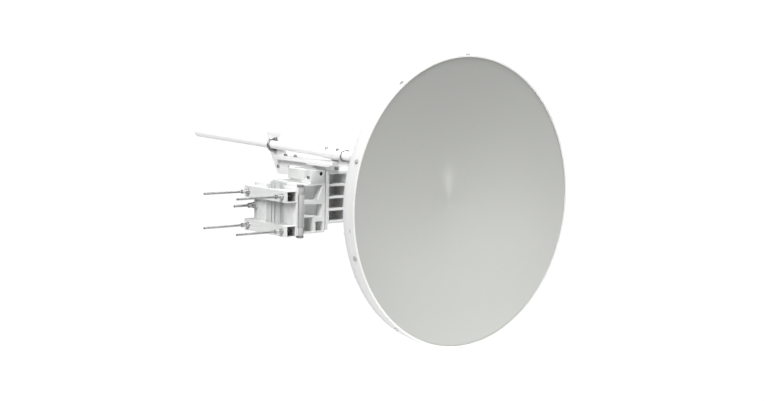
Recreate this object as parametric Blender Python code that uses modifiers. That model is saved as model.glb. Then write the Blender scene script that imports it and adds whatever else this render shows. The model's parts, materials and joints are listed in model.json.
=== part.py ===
"""Parabolic dish antenna with a radome, on a pole clamp that turns it in azimuth and in elevation.

Shapes are written in the dish's own frame, in metres: the middle of the rim's front edge is (0, 0, 0),
the dish looks along -Y, +X runs from the pole to the dish and +Z is up. DISH_CENTRE moves that frame
so that the model's origin lies on the flat bottom of the clamp's pole groove.
"""

import math

import bmesh
import bpy
from mathutils import Matrix, Vector

# Frame
GROOVE_FLOOR_X = -0.527
POLE_Y = 0.600
CLAMP_MIDDLE_Z = -0.058
DISH_CENTRE = Vector((-GROOVE_FLOOR_X, -POLE_Y, -CLAMP_MIDDLE_Z))

# Fits
GAP = 0.0003
SLIDE_GAP = 0.0005
OVER = 0.010
BITE = 0.002

# Dish
DISH_RADIUS = 0.603
RING_WALL = 0.003
RING_DEPTH = 0.0393
RING_EDGE = 0.0012
RIM_DEPTH = 0.067
RIM_WALL = 0.003
RIM_LIP_RADIUS = 0.587
SKIRT_RADIUS = DISH_RADIUS - RING_WALL - GAP
SKIRT_DEPTH = 0.034
SKIRT_BEND = 0.005
RADOME_WALL = 0.003
RADOME_DIP = 0.112
RADOME_EDGE_DEPTH = 0.003
RADOME_TIP = 0.020
RADOME_TIP_EASE = 0.8
RADOME_MIDDLE = 0.250
FOCAL_LENGTH = 0.250
REFLECTOR_WALL = 0.003
REFLECTOR_EDGE_RADIUS = 0.580
REFLECTOR_HOLE_RADIUS = 0.050
FLANGE_RADIUS = 0.596
HUB_RADIUS = 0.125
HUB_BORE = 0.060
HUB_SEAT_SLANT = 1.06
RADIO_SEAT_RADIUS = 0.095
RADIO_SEAT_DEPTH = 0.035
ROUND_STEPS = 64
REFLECTOR_RINGS = 10

# Support arm behind the dish
ARM_FRONT = 0.450
ARM_BACK = 0.540
ARM_START_X = -0.3777
ARM_LEVEL_END_X = -0.300
ARM_HALF_HEIGHT = 0.110
ARM_POCKET_ROWS = 4
ARM_POCKET_HEIGHT = 0.0415
ARM_POCKET_PITCH = 0.0515
ARM_POCKET_LENGTH = 0.088
ARM_POCKET_COLUMNS = 2
ARM_POCKET_DEPTH = 0.078
ARM_WALL = 0.009
FEED_FLANGE_BORE = 0.018
FEED_FLANGE_NECK = 0.045
FEED_FLANGE_RADIUS = 0.085
FEED_FLANGE_PILOT = 0.0585
FEED_FLANGE_FRONT = 0.497
FEED_FLANGE_STEP = 0.5053
FEED_FLANGE_SHOULDER = 0.518
FEED_FLANGE_BACK = 0.536

# Elevation joint
ELEVATION_Y = 0.575
ELEVATION_Z = -0.010
ELEVATION_RANGE = math.radians(5.0)
FLANGE_X = (-0.390, -0.378)
FLANGE_Y = (0.450, 0.700)
FLANGE_Z = (-0.136, 0.114)
ELEVATION_BOLT_RADIUS = 0.010
LOCK_BOLT_RADIUS = 0.006
LOCK_CIRCLE_RADIUS = 0.085
SLOT_SPARE = 0.003
SLOT_SIDE_CLEARANCE = 0.002
BOSS_RADIUS = 0.034
FLANGE_CORNER = 0.030
GUSSET_LEVELS = (("upper", 0.040), ("lower", -0.060))
GUSSET_THICKNESS = 0.008
GUSSET_REACH = 0.050

# Azimuth joint
POST_X = -0.519
POST_Y = 0.455
POST_RADIUS = 0.0145
POST_BOLT_RADIUS = 0.008
KNUCKLE_Z = (-0.118, 0.018)
KNUCKLE_CLEARANCE = 0.0035
POST_NUT_RADIUS = 0.0155

# Azimuth bracket
BRACKET_FRONT = 0.450
BRACKET_BACK = 0.700
BRACKET_LEFT = (-0.513, -0.488)
BRACKET_RIGHT = -0.395
BRACKET_Z = (-0.145, 0.061)
BRACKET_WALL = 0.012
BRACKET_TOE = 0.016
WEB_Y = (0.528, 0.538)
POCKET_LEFT = BRACKET_LEFT[0] + BRACKET_WALL
POCKET_RIGHT = BRACKET_RIGHT - BRACKET_WALL
POCKET_DEPTH = 0.035
UPPER_POCKET = ((POCKET_LEFT, -0.002), (POCKET_RIGHT - 0.024, -0.006),
                (POCKET_RIGHT, 0.054), (POCKET_LEFT, 0.054))
MIDDLE_POCKET = ((POCKET_LEFT, -0.064), (POCKET_RIGHT - 0.008, -0.077),
                 (POCKET_RIGHT, -0.025), (POCKET_LEFT, -0.022))
LOWER_LEFT_POCKET_X = (POCKET_LEFT, -0.456)
LOWER_LEFT_POCKET_Z = (-0.138, -0.077)
LOWER_RIGHT_POCKET_X = (-0.443, POCKET_RIGHT + 0.003)
LOWER_RIGHT_POCKET_Z = (-0.138, -0.097)
LOWER_RIGHT_POCKET_DEPTH = 0.050
BACK_HOLLOW_LEFT = -0.494
BACK_WALL = 0.014
UPPER_HOLLOW_Z = (-0.036, 0.050)
LOWER_HOLLOW_Z = (-0.135, -0.046)
WINDOW_MARGIN = 0.012

# Upper bracket
UPPER_X = (-0.470, -0.397)
UPPER_Y = (0.450, 0.612)
UPPER_TOP = 0.118
SIGHT_HOLE = (-0.416, 0.102)
SIGHT_HOLE_RADIUS = 0.008
SIGHT_HOLE_DEPTH = 0.030
RECESS_RIGHT = -0.430
RECESS_Y = (0.459, 0.497)
RECESS_BOTTOM = 0.080
UPPER_HOLLOW_FRONT = 0.507
UPPER_HOLLOW_WALL = 0.010
UPPER_SKIN = 0.008
UNDERCUT_FRONT = 0.515
UNDERCUT_TOP = 0.075
LOCK_HEAD_ROOM = 0.014
LOCK_HEAD_ROOM_Z = (0.059, 0.090)

# Pole clamp
CLAMP_X = (-0.545, -0.521)
CLAMP_Y = (0.447, 0.753)
CLAMP_Z = (-0.150, 0.050)
GROOVE_HALF_MOUTH = 0.071
GROOVE_HALF_FLOOR = 0.012
CREST_X = -0.530
CREST_Y = (0.475, 0.655)
CREST_TOP = 0.060
CLAMP_BACK_X = -0.518
CLAMP_BACK_Y = (0.530, 0.670)
CLAMP_BACK_MARGIN = 0.006
JAW_OUTER_X = -0.594
JAW_HALF_LENGTH = 0.155
JAW_HALF_HEIGHT = 0.024
JAW_NOTCH_DEPTH = 0.034
JAW_MOUTH_FLARE = 0.017
JAW_SKIN = 0.004
JAW_POCKET = (-0.030, 0.060)
ROD_SPACING_Y = 0.247
ROD_SPACING_Z = 0.143
ROD_RADIUS = 0.005
ROD_END_X = -0.815
ROD_SOCKET_DEPTH = 0.020
ADJUSTER_Y = 0.735
ADJUSTER_Z = -0.048
ADJUSTER_RADIUS = 0.006
ADJUSTER_X = (-0.659, -0.420)
LUG_X = (-0.466, -0.454)
LUG_END_Y = 0.758
LUG_HALF_HEIGHT = 0.022
LUG_SLOT_Y = (0.718, 0.750)
LUG_SLOT_CLEARANCE = 0.002
LOCK_NUT_RADIUS = 0.011
NUT_THICKNESS = 0.010
WASHER_THICKNESS = 0.003
SPACER_THICKNESS = 0.012
ADJUSTER_SPACER_THICKNESS = 0.003
ADJUSTER_BOSS_RADIUS = 0.013
ADJUSTER_BOSS_LENGTH = 0.012

# Strut and what carries it
STRUT_X = -0.413
STRUT_RADIUS = 0.0175
STRUT_WALL = 0.003
STRUT_Y = (0.245, 1.425)
STRUT_DATUM = (0.465, 0.192)
STRUT_SLOPE = 0.0333
SLEEVE_Y = (0.320, 0.440)
SLEEVE_WALL = 0.0035
SLEEVE_RADIUS = STRUT_RADIUS + GAP + SLEEVE_WALL
OUTRIGGER_X = (-0.428, -0.3915)
OUTRIGGER_Y = (0.362, 0.792)
OUTRIGGER_Z = (0.1413, 0.159)
STRUT_PLATE_X = (-0.3912, -0.3852)
REAR_PLATE = ((0.720, 0.076), (0.800, 0.076), (0.818, 0.103), (0.858, 0.168), (0.885, 0.215),
              (0.885, 0.256), (0.775, 0.256), (0.762, 0.222), (0.745, 0.180), (0.720, 0.158),
              (0.548, 0.158), (0.548, 0.1347), (0.400, 0.1347), (0.400, 0.1185), (0.720, 0.1185))
FRONT_PLATE = ((0.268, 0.150), (0.330, 0.145), (0.420, 0.1415),
               (0.420, 0.165), (0.335, 0.222), (0.268, 0.222))
DECK_RIGHT = -0.318
DECK_Y = (0.385, 0.545)
DECK_BOTTOM = 0.135
FOOT_LEFT = -0.3765
FOOT_Y = (0.452, 0.538)
FOOT_WALL = 0.004
FRONT_U_BOLT_Y = 0.300
FRONT_U_BOLT_RADIUS = 0.003
FRONT_U_BOLT_LEG = STRUT_RADIUS + FRONT_U_BOLT_RADIUS + 2 * GAP
REAR_U_BOLT_Y = 0.812
REAR_U_BOLT_RADIUS = 0.005
REAR_U_BOLT_LEG = 0.0272
U_BOLT_TAIL = 0.020
SADDLE_BACK = 0.006
SADDLE_HALF_LENGTH = 0.016
SADDLE_HALF_HEIGHT = 0.0215
CAP_FACE = 0.004
CAP_PLUG = 0.015

WHITE = ("powder_coat_white", (0.80, 0.80, 0.79), 0.35, 0.0)
CASTING = ("painted_casting_grey", (0.58, 0.59, 0.58), 0.45, 0.0)
RADOME = ("radome_grey", (0.55, 0.56, 0.54), 0.30, 0.0)
ALUMINIUM = ("spun_aluminium", (0.75, 0.76, 0.77), 0.35, 1.0)
ZINC = ("zinc_plated_steel", (0.55, 0.56, 0.57), 0.40, 1.0)
PLASTIC = ("cap_plastic", (0.60, 0.60, 0.60), 0.50, 0.0)


def clear_scene():
    """Removes whatever objects the file starts with."""
    for item in list(bpy.data.objects):
        bpy.data.objects.remove(item, do_unlink=True)


def new_collection(name):
    """A collection under the scene's own."""
    made = bpy.data.collections.new(name)
    bpy.context.scene.collection.children.link(made)
    return made


def material(finish):
    """The Principled material of a finish, made once."""
    name, colour, roughness, metallic = finish
    found = bpy.data.materials.get(name)
    if found:
        return found
    made = bpy.data.materials.new(name)
    made.use_nodes = True
    shader = made.node_tree.nodes["Principled BSDF"]
    shader.inputs["Base Color"].default_value = (*colour, 1.0)
    shader.inputs["Roughness"].default_value = roughness
    shader.inputs["Metallic"].default_value = metallic
    return made


class Workshop:
    """Keeps the two collections, and the empties that stand on the joints' axes."""

    def __init__(self):
        clear_scene()
        self.parts = new_collection("dish_antenna")
        self.cutters = new_collection("cutters")
        self.clamp_frame = self.empty("pole_clamp_frame", Vector((GROOVE_FLOOR_X, POLE_Y, CLAMP_MIDDLE_Z)))
        self.azimuth_frame = self.empty("azimuth_frame", Vector((POST_X, POST_Y, CLAMP_MIDDLE_Z)))
        self.antenna_frame = self.empty("elevation_frame", Vector((FLANGE_X[0], ELEVATION_Y, ELEVATION_Z)))
        self.hang(self.azimuth_frame, self.clamp_frame)
        self.hang(self.antenna_frame, self.azimuth_frame)

    def empty(self, name, place):
        """An empty at a place in the dish's frame."""
        made = bpy.data.objects.new(name, None)
        made.empty_display_size = 0.05
        made.location = DISH_CENTRE + place
        self.parts.objects.link(made)
        return made

    def hang(self, child, parent):
        """Parents child to an empty and leaves it where it stands."""
        bpy.context.view_layer.update()
        child.parent = parent
        child.matrix_parent_inverse = parent.matrix_world.inverted()

    def add(self, name, mesh, place=Vector((0.0, 0.0, 0.0))):
        """A new object among the cutters, until it is finished as a part."""
        made = bpy.data.objects.new(name, mesh)
        made.location = DISH_CENTRE + place
        made.display_type = "WIRE"
        made.hide_render = True
        self.cutters.objects.link(made)
        return made

    def part(self, piece, finish, frame):
        """Turns an object into a named part of the assembly."""
        self.cutters.objects.unlink(piece)
        self.parts.objects.link(piece)
        piece.display_type = "TEXTURED"
        piece.hide_render = False
        piece.data.materials.clear()
        piece.data.materials.append(material(finish))
        self.hang(piece, frame)
        return piece

    def boolean(self, piece, tool, operation):
        """Puts a Boolean modifier on piece."""
        modifier = piece.modifiers.new(tool.name, "BOOLEAN")
        modifier.operation = operation
        modifier.object = tool

    def cut(self, piece, *tools):
        """Takes the tools' shapes out of piece."""
        for tool in tools:
            self.boolean(piece, tool, "DIFFERENCE")
        return piece

    def fuse(self, piece, *tools):
        """Joins the tools' shapes to piece."""
        for tool in tools:
            self.boolean(piece, tool, "UNION")
        return piece

    def box(self, name, x, y, z):
        """A box between the two limits on each axis."""
        low = Vector((x[0], y[0], z[0]))
        high = Vector((x[1], y[1], z[1]))
        mesh = bpy.data.meshes.new(name)
        shape = bmesh.new()
        bmesh.ops.create_cube(shape, size=1.0, matrix=Matrix.Diagonal((*(high - low), 1.0)))
        shape.to_mesh(mesh)
        shape.free()
        return self.add(name, mesh, (low + high) / 2)

    def rod(self, name, start, end, radius, sides=16):
        """A cylinder from start to end; six sides make a hexagon."""
        start = Vector(start)
        end = Vector(end)
        turn = Vector((0.0, 0.0, 1.0)).rotation_difference(end - start).to_matrix().to_4x4()
        mesh = bpy.data.meshes.new(name)
        shape = bmesh.new()
        bmesh.ops.create_cone(shape, cap_ends=True, segments=sides, radius1=radius, radius2=radius,
                              depth=(end - start).length, matrix=turn)
        shape.to_mesh(mesh)
        shape.free()
        if sides > 6:
            mesh.shade_smooth()
            mesh.set_sharp_from_angle(angle=math.radians(40.0))
        return self.add(name, mesh, (start + end) / 2)

    def plate(self, name, outline, level, thickness, normal):
        """A flat outline with a thickness.

        The outline's two numbers are (x, y) where normal is Z, (x, z) where it is Y and (y, z)
        where it is X. The plate runs from level to level + thickness along its normal.
        """
        curve = bpy.data.curves.new(name, "CURVE")
        curve.dimensions = "2D"
        curve.fill_mode = "BOTH"
        curve.extrude = thickness / 2
        line = curve.splines.new("POLY")
        line.points.add(len(outline) - 1)
        for point, (first, second) in zip(line.points, outline):
            point.co = (first, second, 0.0, 1.0)
        line.use_cyclic_u = True
        guide = bpy.data.objects.new(name + "_outline", curve)
        bpy.context.scene.collection.objects.link(guide)
        bpy.context.view_layer.update()
        seen = guide.evaluated_get(bpy.context.evaluated_depsgraph_get())
        mesh = bpy.data.meshes.new_from_object(seen)
        bpy.data.objects.remove(guide, do_unlink=True)
        middle = level + thickness / 2
        places = {
            "Z": Matrix.Translation((0.0, 0.0, middle)),
            "Y": Matrix.Translation((0.0, middle, 0.0)) @ Matrix.Rotation(math.radians(90.0), 4, "X"),
            "X": Matrix.Translation((middle, 0.0, 0.0)) @ Matrix(((0, 0, 1, 0), (1, 0, 0, 0),
                                                                 (0, 1, 0, 0), (0, 0, 0, 1))),
        }
        shape = bmesh.new()
        shape.from_mesh(mesh)
        bmesh.ops.remove_doubles(shape, verts=shape.verts, dist=0.00001)
        bmesh.ops.transform(shape, matrix=places[normal], verts=shape.verts)
        bmesh.ops.recalc_face_normals(shape, faces=shape.faces)
        shape.to_mesh(mesh)
        shape.free()
        return self.add(name, mesh)

    def turned(self, name, profile, closed, steps=ROUND_STEPS):
        """A profile of (radius, depth behind the rim's front edge), turned about the dish's axis.

        It starts in front and runs back on its outer side. A closed profile makes a ring.
        """
        points = [(radius, 0.0, -depth) for radius, depth in profile]
        edges = [(index, index + 1) for index in range(len(points) - 1)]
        if closed:
            edges.append((len(points) - 1, 0))
        mesh = bpy.data.meshes.new(name)
        mesh.from_pydata(points, edges, [])
        piece = self.add(name, mesh)
        piece.rotation_euler = (math.radians(90.0), 0.0, 0.0)
        screw = piece.modifiers.new("turn", "SCREW")
        screw.axis = "Z"
        screw.steps = steps
        screw.render_steps = steps
        screw.use_merge_vertices = True
        screw.merge_threshold = 0.00005
        screw.use_smooth_shade = True
        return piece

    def shell(self, piece, thickness):
        """Gives an open surface its wall, on the inner side."""
        solid = piece.modifiers.new("wall", "SOLIDIFY")
        solid.thickness = thickness
        solid.offset = -1.0
        solid.use_even_offset = True
        return piece

    def wire(self, name, points, radius, sides_each_quarter=2):
        """A round bar along points, as a mesh with closed ends."""
        curve = bpy.data.curves.new(name, "CURVE")
        curve.dimensions = "3D"
        curve.bevel_depth = radius
        curve.bevel_resolution = sides_each_quarter
        curve.use_fill_caps = True
        line = curve.splines.new("POLY")
        line.points.add(len(points) - 1)
        for point, place in zip(line.points, points):
            point.co = (*place, 1.0)
        guide = bpy.data.objects.new(name + "_path", curve)
        bpy.context.scene.collection.objects.link(guide)
        bpy.context.view_layer.update()
        seen = guide.evaluated_get(bpy.context.evaluated_depsgraph_get())
        mesh = bpy.data.meshes.new_from_object(seen)
        bpy.data.objects.remove(guide, do_unlink=True)
        shape = bmesh.new()
        shape.from_mesh(mesh)
        bmesh.ops.remove_doubles(shape, verts=shape.verts, dist=0.00001)
        bmesh.ops.recalc_face_normals(shape, faces=shape.faces)
        shape.to_mesh(mesh)
        shape.free()
        return self.add(name, mesh)


def reflector_depth(radius):
    """Depth of the dish's inner surface behind the rim's front edge."""
    edge = RIM_DEPTH - RIM_WALL - GAP - REFLECTOR_WALL
    return edge + (REFLECTOR_EDGE_RADIUS ** 2 - radius ** 2) / (4 * FOCAL_LENGTH)


def make_dish(shop):
    """The two rings of the rim, the radome, the reflector and the hub behind it."""
    inner = DISH_RADIUS - RING_WALL
    ring = shop.turned("radome_ring", [
        (inner, RING_EDGE), (inner + RING_EDGE, 0.0), (DISH_RADIUS - RING_EDGE, 0.0),
        (DISH_RADIUS, RING_EDGE), (DISH_RADIUS, RING_DEPTH), (inner, RING_DEPTH)], closed=True)
    shop.part(ring, WHITE, shop.antenna_frame)

    rim_front = SKIRT_DEPTH + GAP
    rim_inner = SKIRT_RADIUS - RIM_WALL
    lip_front = RIM_DEPTH - RIM_WALL
    rim = shop.turned("rim_ring", [
        (rim_inner, rim_front), (SKIRT_RADIUS, rim_front), (SKIRT_RADIUS, RIM_DEPTH),
        (RIM_LIP_RADIUS, RIM_DEPTH), (RIM_LIP_RADIUS, lip_front), (rim_inner, lip_front)], closed=True)
    shop.part(rim, WHITE, shop.antenna_frame)

    cone_edge = SKIRT_RADIUS - SKIRT_BEND
    slope = (RADOME_DIP - RADOME_EDGE_DEPTH) / cone_edge
    bend = [math.radians(angle) for angle in (30, 60, 90)]
    corner = [(cone_edge + SKIRT_BEND * math.sin(angle),
               RADOME_EDGE_DEPTH + SKIRT_BEND * (1.0 - math.cos(angle))) for angle in bend]
    cone = shop.turned("radome", [
        (0.0, RADOME_DIP), (RADOME_TIP, RADOME_DIP - RADOME_TIP_EASE * RADOME_TIP * slope),
        (RADOME_MIDDLE, RADOME_DIP - RADOME_MIDDLE * slope), (cone_edge, RADOME_EDGE_DEPTH)]
        + corner + [(SKIRT_RADIUS, SKIRT_DEPTH)], closed=False)
    shop.part(shop.shell(cone, RADOME_WALL), RADOME, shop.antenna_frame)

    step = (REFLECTOR_EDGE_RADIUS - REFLECTOR_HOLE_RADIUS) / REFLECTOR_RINGS
    radii = [REFLECTOR_HOLE_RADIUS + step * index for index in range(REFLECTOR_RINGS + 1)]
    profile = [(radius, reflector_depth(radius)) for radius in radii]
    profile.append((FLANGE_RADIUS, reflector_depth(REFLECTOR_EDGE_RADIUS)))
    bowl = shop.turned("reflector", profile, closed=False)
    shop.part(shop.shell(bowl, REFLECTOR_WALL), ALUMINIUM, shop.antenna_frame)

    steps = 3
    step = (HUB_RADIUS - HUB_BORE) / steps
    seat_gap = REFLECTOR_WALL * HUB_SEAT_SLANT + 2 * GAP
    radii = [HUB_BORE + step * index for index in range(steps + 1)]
    front = [(radius, reflector_depth(radius) + seat_gap) for radius in radii]
    hub_back = ARM_FRONT - GAP
    hub = shop.turned("hub_ring", front + [(HUB_RADIUS, hub_back), (HUB_BORE, hub_back)], closed=True)
    shop.part(hub, CASTING, shop.antenna_frame)


def make_support_arm(shop):
    """The ribbed casting behind the dish, with the feed flange in its round end."""
    arc = [math.radians(angle) for angle in range(-75, 76, 15)]
    nose = [(HUB_RADIUS * math.cos(angle), HUB_RADIUS * math.sin(angle)) for angle in arc]
    outline = [(ARM_LEVEL_END_X, ARM_HALF_HEIGHT), (ARM_START_X, ARM_HALF_HEIGHT),
               (ARM_START_X, -ARM_HALF_HEIGHT), (ARM_LEVEL_END_X, -ARM_HALF_HEIGHT)] + nose
    arm = shop.plate("support_arm", outline, ARM_FRONT, ARM_BACK - ARM_FRONT, "Y")
    top = (ARM_POCKET_ROWS - 1) / 2 * ARM_POCKET_PITCH
    half = ARM_POCKET_HEIGHT / 2
    for row in range(ARM_POCKET_ROWS):
        middle = top - row * ARM_POCKET_PITCH
        for column in range(ARM_POCKET_COLUMNS):
            start = ARM_START_X + ARM_WALL / 2 + column * (ARM_POCKET_LENGTH + ARM_WALL)
            pocket = shop.box(f"arm_pocket_{row}_{column}", (start, start + ARM_POCKET_LENGTH),
                              (ARM_FRONT - OVER, ARM_FRONT + ARM_POCKET_DEPTH),
                              (middle - half, middle + half))
            shop.cut(arm, pocket)
    bore = shop.rod("feed_bore", (0.0, ARM_FRONT - OVER, 0.0), (0.0, ARM_BACK + OVER, 0.0), HUB_BORE, 32)
    relief = shop.rod("radio_seat", (0.0, ARM_BACK - RADIO_SEAT_DEPTH, 0.0), (0.0, ARM_BACK + OVER, 0.0),
                      RADIO_SEAT_RADIUS, 32)
    shop.cut(arm, bore, relief)
    shop.part(arm, CASTING, shop.antenna_frame)

    flange = shop.turned("feed_flange", [
        (FEED_FLANGE_BORE, FEED_FLANGE_FRONT), (FEED_FLANGE_PILOT, FEED_FLANGE_FRONT),
        (FEED_FLANGE_PILOT, FEED_FLANGE_STEP), (FEED_FLANGE_RADIUS, FEED_FLANGE_STEP),
        (FEED_FLANGE_RADIUS, FEED_FLANGE_SHOULDER), (FEED_FLANGE_NECK, FEED_FLANGE_SHOULDER),
        (FEED_FLANGE_NECK, FEED_FLANGE_BACK), (FEED_FLANGE_BORE, FEED_FLANGE_BACK)], closed=True, steps=32)
    shop.part(flange, ALUMINIUM, shop.antenna_frame)


def make_elevation_joint(shop):
    """The plate that tilts with the dish, its pivot bolt and the two bolts that lock it."""
    y0, y1 = FLANGE_Y
    z0, z1 = FLANGE_Z
    corner_y = y1 - FLANGE_CORNER
    outline = [(y0, z0), (corner_y, z0), (y1, z0 + FLANGE_CORNER), (y1, z1 - FLANGE_CORNER),
               (corner_y, z1), (y0, z1)]
    flange = shop.plate("elevation_flange", outline, FLANGE_X[0], FLANGE_X[1] - FLANGE_X[0], "X")
    for side, level in GUSSET_LEVELS:
        gusset = shop.plate(f"{side}_gusset", [(FLANGE_X[1] - BITE, ARM_BACK + GAP),
                                               (FLANGE_X[1] + GUSSET_REACH, ARM_BACK + GAP),
                                               (FLANGE_X[1] - BITE, corner_y)],
                            level, GUSSET_THICKNESS, "Z")
        shop.fuse(flange, gusset)
    through = (FLANGE_X[0] - OVER, FLANGE_X[1] + OVER)
    shop.cut(flange, shop.rod("elevation_pin_hole", (through[0], ELEVATION_Y, ELEVATION_Z),
                              (through[1], ELEVATION_Y, ELEVATION_Z), ELEVATION_BOLT_RADIUS + SLIDE_GAP))
    travel = LOCK_CIRCLE_RADIUS * math.sin(ELEVATION_RANGE) + LOCK_BOLT_RADIUS + SLOT_SPARE
    width = LOCK_BOLT_RADIUS + SLOT_SIDE_CLEARANCE
    for name, side in (("lower", -1), ("upper", 1)):
        level = ELEVATION_Z + side * LOCK_CIRCLE_RADIUS
        slot = shop.box(f"{name}_lock_slot", through, (ELEVATION_Y - travel, ELEVATION_Y + travel),
                        (level - width, level + width))
        shop.cut(flange, slot)
        make_joint_bolt(shop, f"lock_bolt_{name}", level, LOCK_BOLT_RADIUS)
    shop.part(flange, CASTING, shop.antenna_frame)
    make_joint_bolt(shop, "elevation_pivot_bolt", ELEVATION_Z, ELEVATION_BOLT_RADIUS)


def make_joint_bolt(shop, name, level, radius):
    """A bolt along X through the bracket's wall and the flange, with a head and a washered nut.

    Its sizes are shares of its radius, as on a standard bolt.
    """
    face = FLANGE_X[1] + GAP
    head_face = POCKET_RIGHT - GAP
    head_start = head_face - 1.3 * radius
    washer_back = face + WASHER_THICKNESS
    shank = shop.rod(name, (head_start, ELEVATION_Y, level),
                     (face + 2.6 * radius, ELEVATION_Y, level), radius)
    head = shop.rod(name + "_head", (head_start - BITE / 2, ELEVATION_Y, level),
                    (head_face, ELEVATION_Y, level), 1.85 * radius, 6)
    washer = shop.rod(name + "_washer", (face, ELEVATION_Y, level),
                      (washer_back, ELEVATION_Y, level), 2.1 * radius)
    nut = shop.rod(name + "_nut", (washer_back - BITE / 2, ELEVATION_Y, level),
                   (washer_back - BITE / 2 + 1.7 * radius, ELEVATION_Y, level), 1.85 * radius, 6)
    shop.fuse(shank, head, washer, nut)
    shop.part(shank, ZINC, shop.azimuth_frame)


def make_azimuth_bracket(shop):
    """The open casting that hangs on the clamp's pivot bolt."""
    left_front, left_back = BRACKET_LEFT
    outline = [(left_front, BRACKET_FRONT), (BRACKET_RIGHT, BRACKET_FRONT), (BRACKET_RIGHT, BRACKET_BACK),
               (left_back, BRACKET_BACK), (left_front, BRACKET_FRONT + BRACKET_TOE)]
    casting = shop.plate("azimuth_bracket", outline, BRACKET_Z[0], BRACKET_Z[1] - BRACKET_Z[0], "Z")
    knuckle = shop.rod("bracket_knuckle", (POST_X, POST_Y, KNUCKLE_Z[0]),
                       (POST_X, POST_Y, KNUCKLE_Z[1]), POST_RADIUS, 24)
    boss = shop.rod("elevation_boss", (BRACKET_RIGHT - BITE, ELEVATION_Y, ELEVATION_Z),
                    (FLANGE_X[0] - SLIDE_GAP, ELEVATION_Y, ELEVATION_Z), BOSS_RADIUS, 24)
    lug = shop.box("adjuster_lug", LUG_X, (BRACKET_BACK - BRACKET_WALL, LUG_END_Y),
                   (ADJUSTER_Z - LUG_HALF_HEIGHT, ADJUSTER_Z + LUG_HALF_HEIGHT))
    shop.fuse(casting, knuckle, boss, lug)
    cut_front_pockets(shop, casting)
    cut_back_hollows(shop, casting)

    slot_half = ADJUSTER_RADIUS + LUG_SLOT_CLEARANCE
    slot = shop.box("adjuster_slot", (LUG_X[0] - OVER, LUG_X[1] + OVER), LUG_SLOT_Y,
                    (ADJUSTER_Z - slot_half, ADJUSTER_Z + slot_half))
    pin_hole = shop.rod("post_hole", (POST_X, POST_Y, KNUCKLE_Z[0] - OVER),
                        (POST_X, POST_Y, KNUCKLE_Z[1] + OVER), POST_BOLT_RADIUS + SLIDE_GAP)
    shop.cut(casting, slot, pin_hole)
    relief = POST_RADIUS + KNUCKLE_CLEARANCE
    for side, low, high in (("upper", KNUCKLE_Z[1], BRACKET_Z[1] + OVER),
                            ("lower", BRACKET_Z[0] - OVER, KNUCKLE_Z[0])):
        shop.cut(casting, shop.rod(f"{side}_knuckle_relief", (POST_X, POST_Y, low),
                                   (POST_X, POST_Y, high), relief, 24))
    for name, level, radius in (("pivot", ELEVATION_Z, ELEVATION_BOLT_RADIUS),
                                ("lower_lock", ELEVATION_Z - LOCK_CIRCLE_RADIUS, LOCK_BOLT_RADIUS)):
        shop.cut(casting, shop.rod(f"{name}_hole", (POCKET_RIGHT - OVER, ELEVATION_Y, level),
                                   (FLANGE_X[0] + OVER, ELEVATION_Y, level), radius + GAP))
    shop.part(casting, CASTING, shop.azimuth_frame)


def cut_front_pockets(shop, casting):
    """The four pockets that show in the bracket's front."""
    start = BRACKET_FRONT - OVER
    for name, outline in (("upper", UPPER_POCKET), ("middle", MIDDLE_POCKET)):
        shop.cut(casting, shop.plate(f"{name}_pocket", outline, start, POCKET_DEPTH + OVER, "Y"))
    shop.cut(casting, shop.box("lower_left_pocket", LOWER_LEFT_POCKET_X,
                               (start, WEB_Y[0]), LOWER_LEFT_POCKET_Z))
    shop.cut(casting, shop.box("lower_right_pocket", LOWER_RIGHT_POCKET_X,
                               (start, BRACKET_FRONT + LOWER_RIGHT_POCKET_DEPTH), LOWER_RIGHT_POCKET_Z))


def cut_back_hollows(shop, casting):
    """The two hollows behind the web, each with a window to the back."""
    for side, (low, high), window_right in (("upper", UPPER_HOLLOW_Z, POCKET_RIGHT - WINDOW_MARGIN),
                                            ("lower", LOWER_HOLLOW_Z, LUG_X[0] - WINDOW_MARGIN / 2)):
        shop.cut(casting, shop.box(f"{side}_back_hollow", (BACK_HOLLOW_LEFT, POCKET_RIGHT),
                                   (WEB_Y[1], BRACKET_BACK - BACK_WALL), (low, high)))
        shop.cut(casting, shop.box(f"{side}_back_window", (BACK_HOLLOW_LEFT + WINDOW_MARGIN, window_right),
                                   (BRACKET_BACK - 2 * BACK_WALL, BRACKET_BACK + OVER),
                                   (low + WINDOW_MARGIN, high - WINDOW_MARGIN)))


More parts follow.
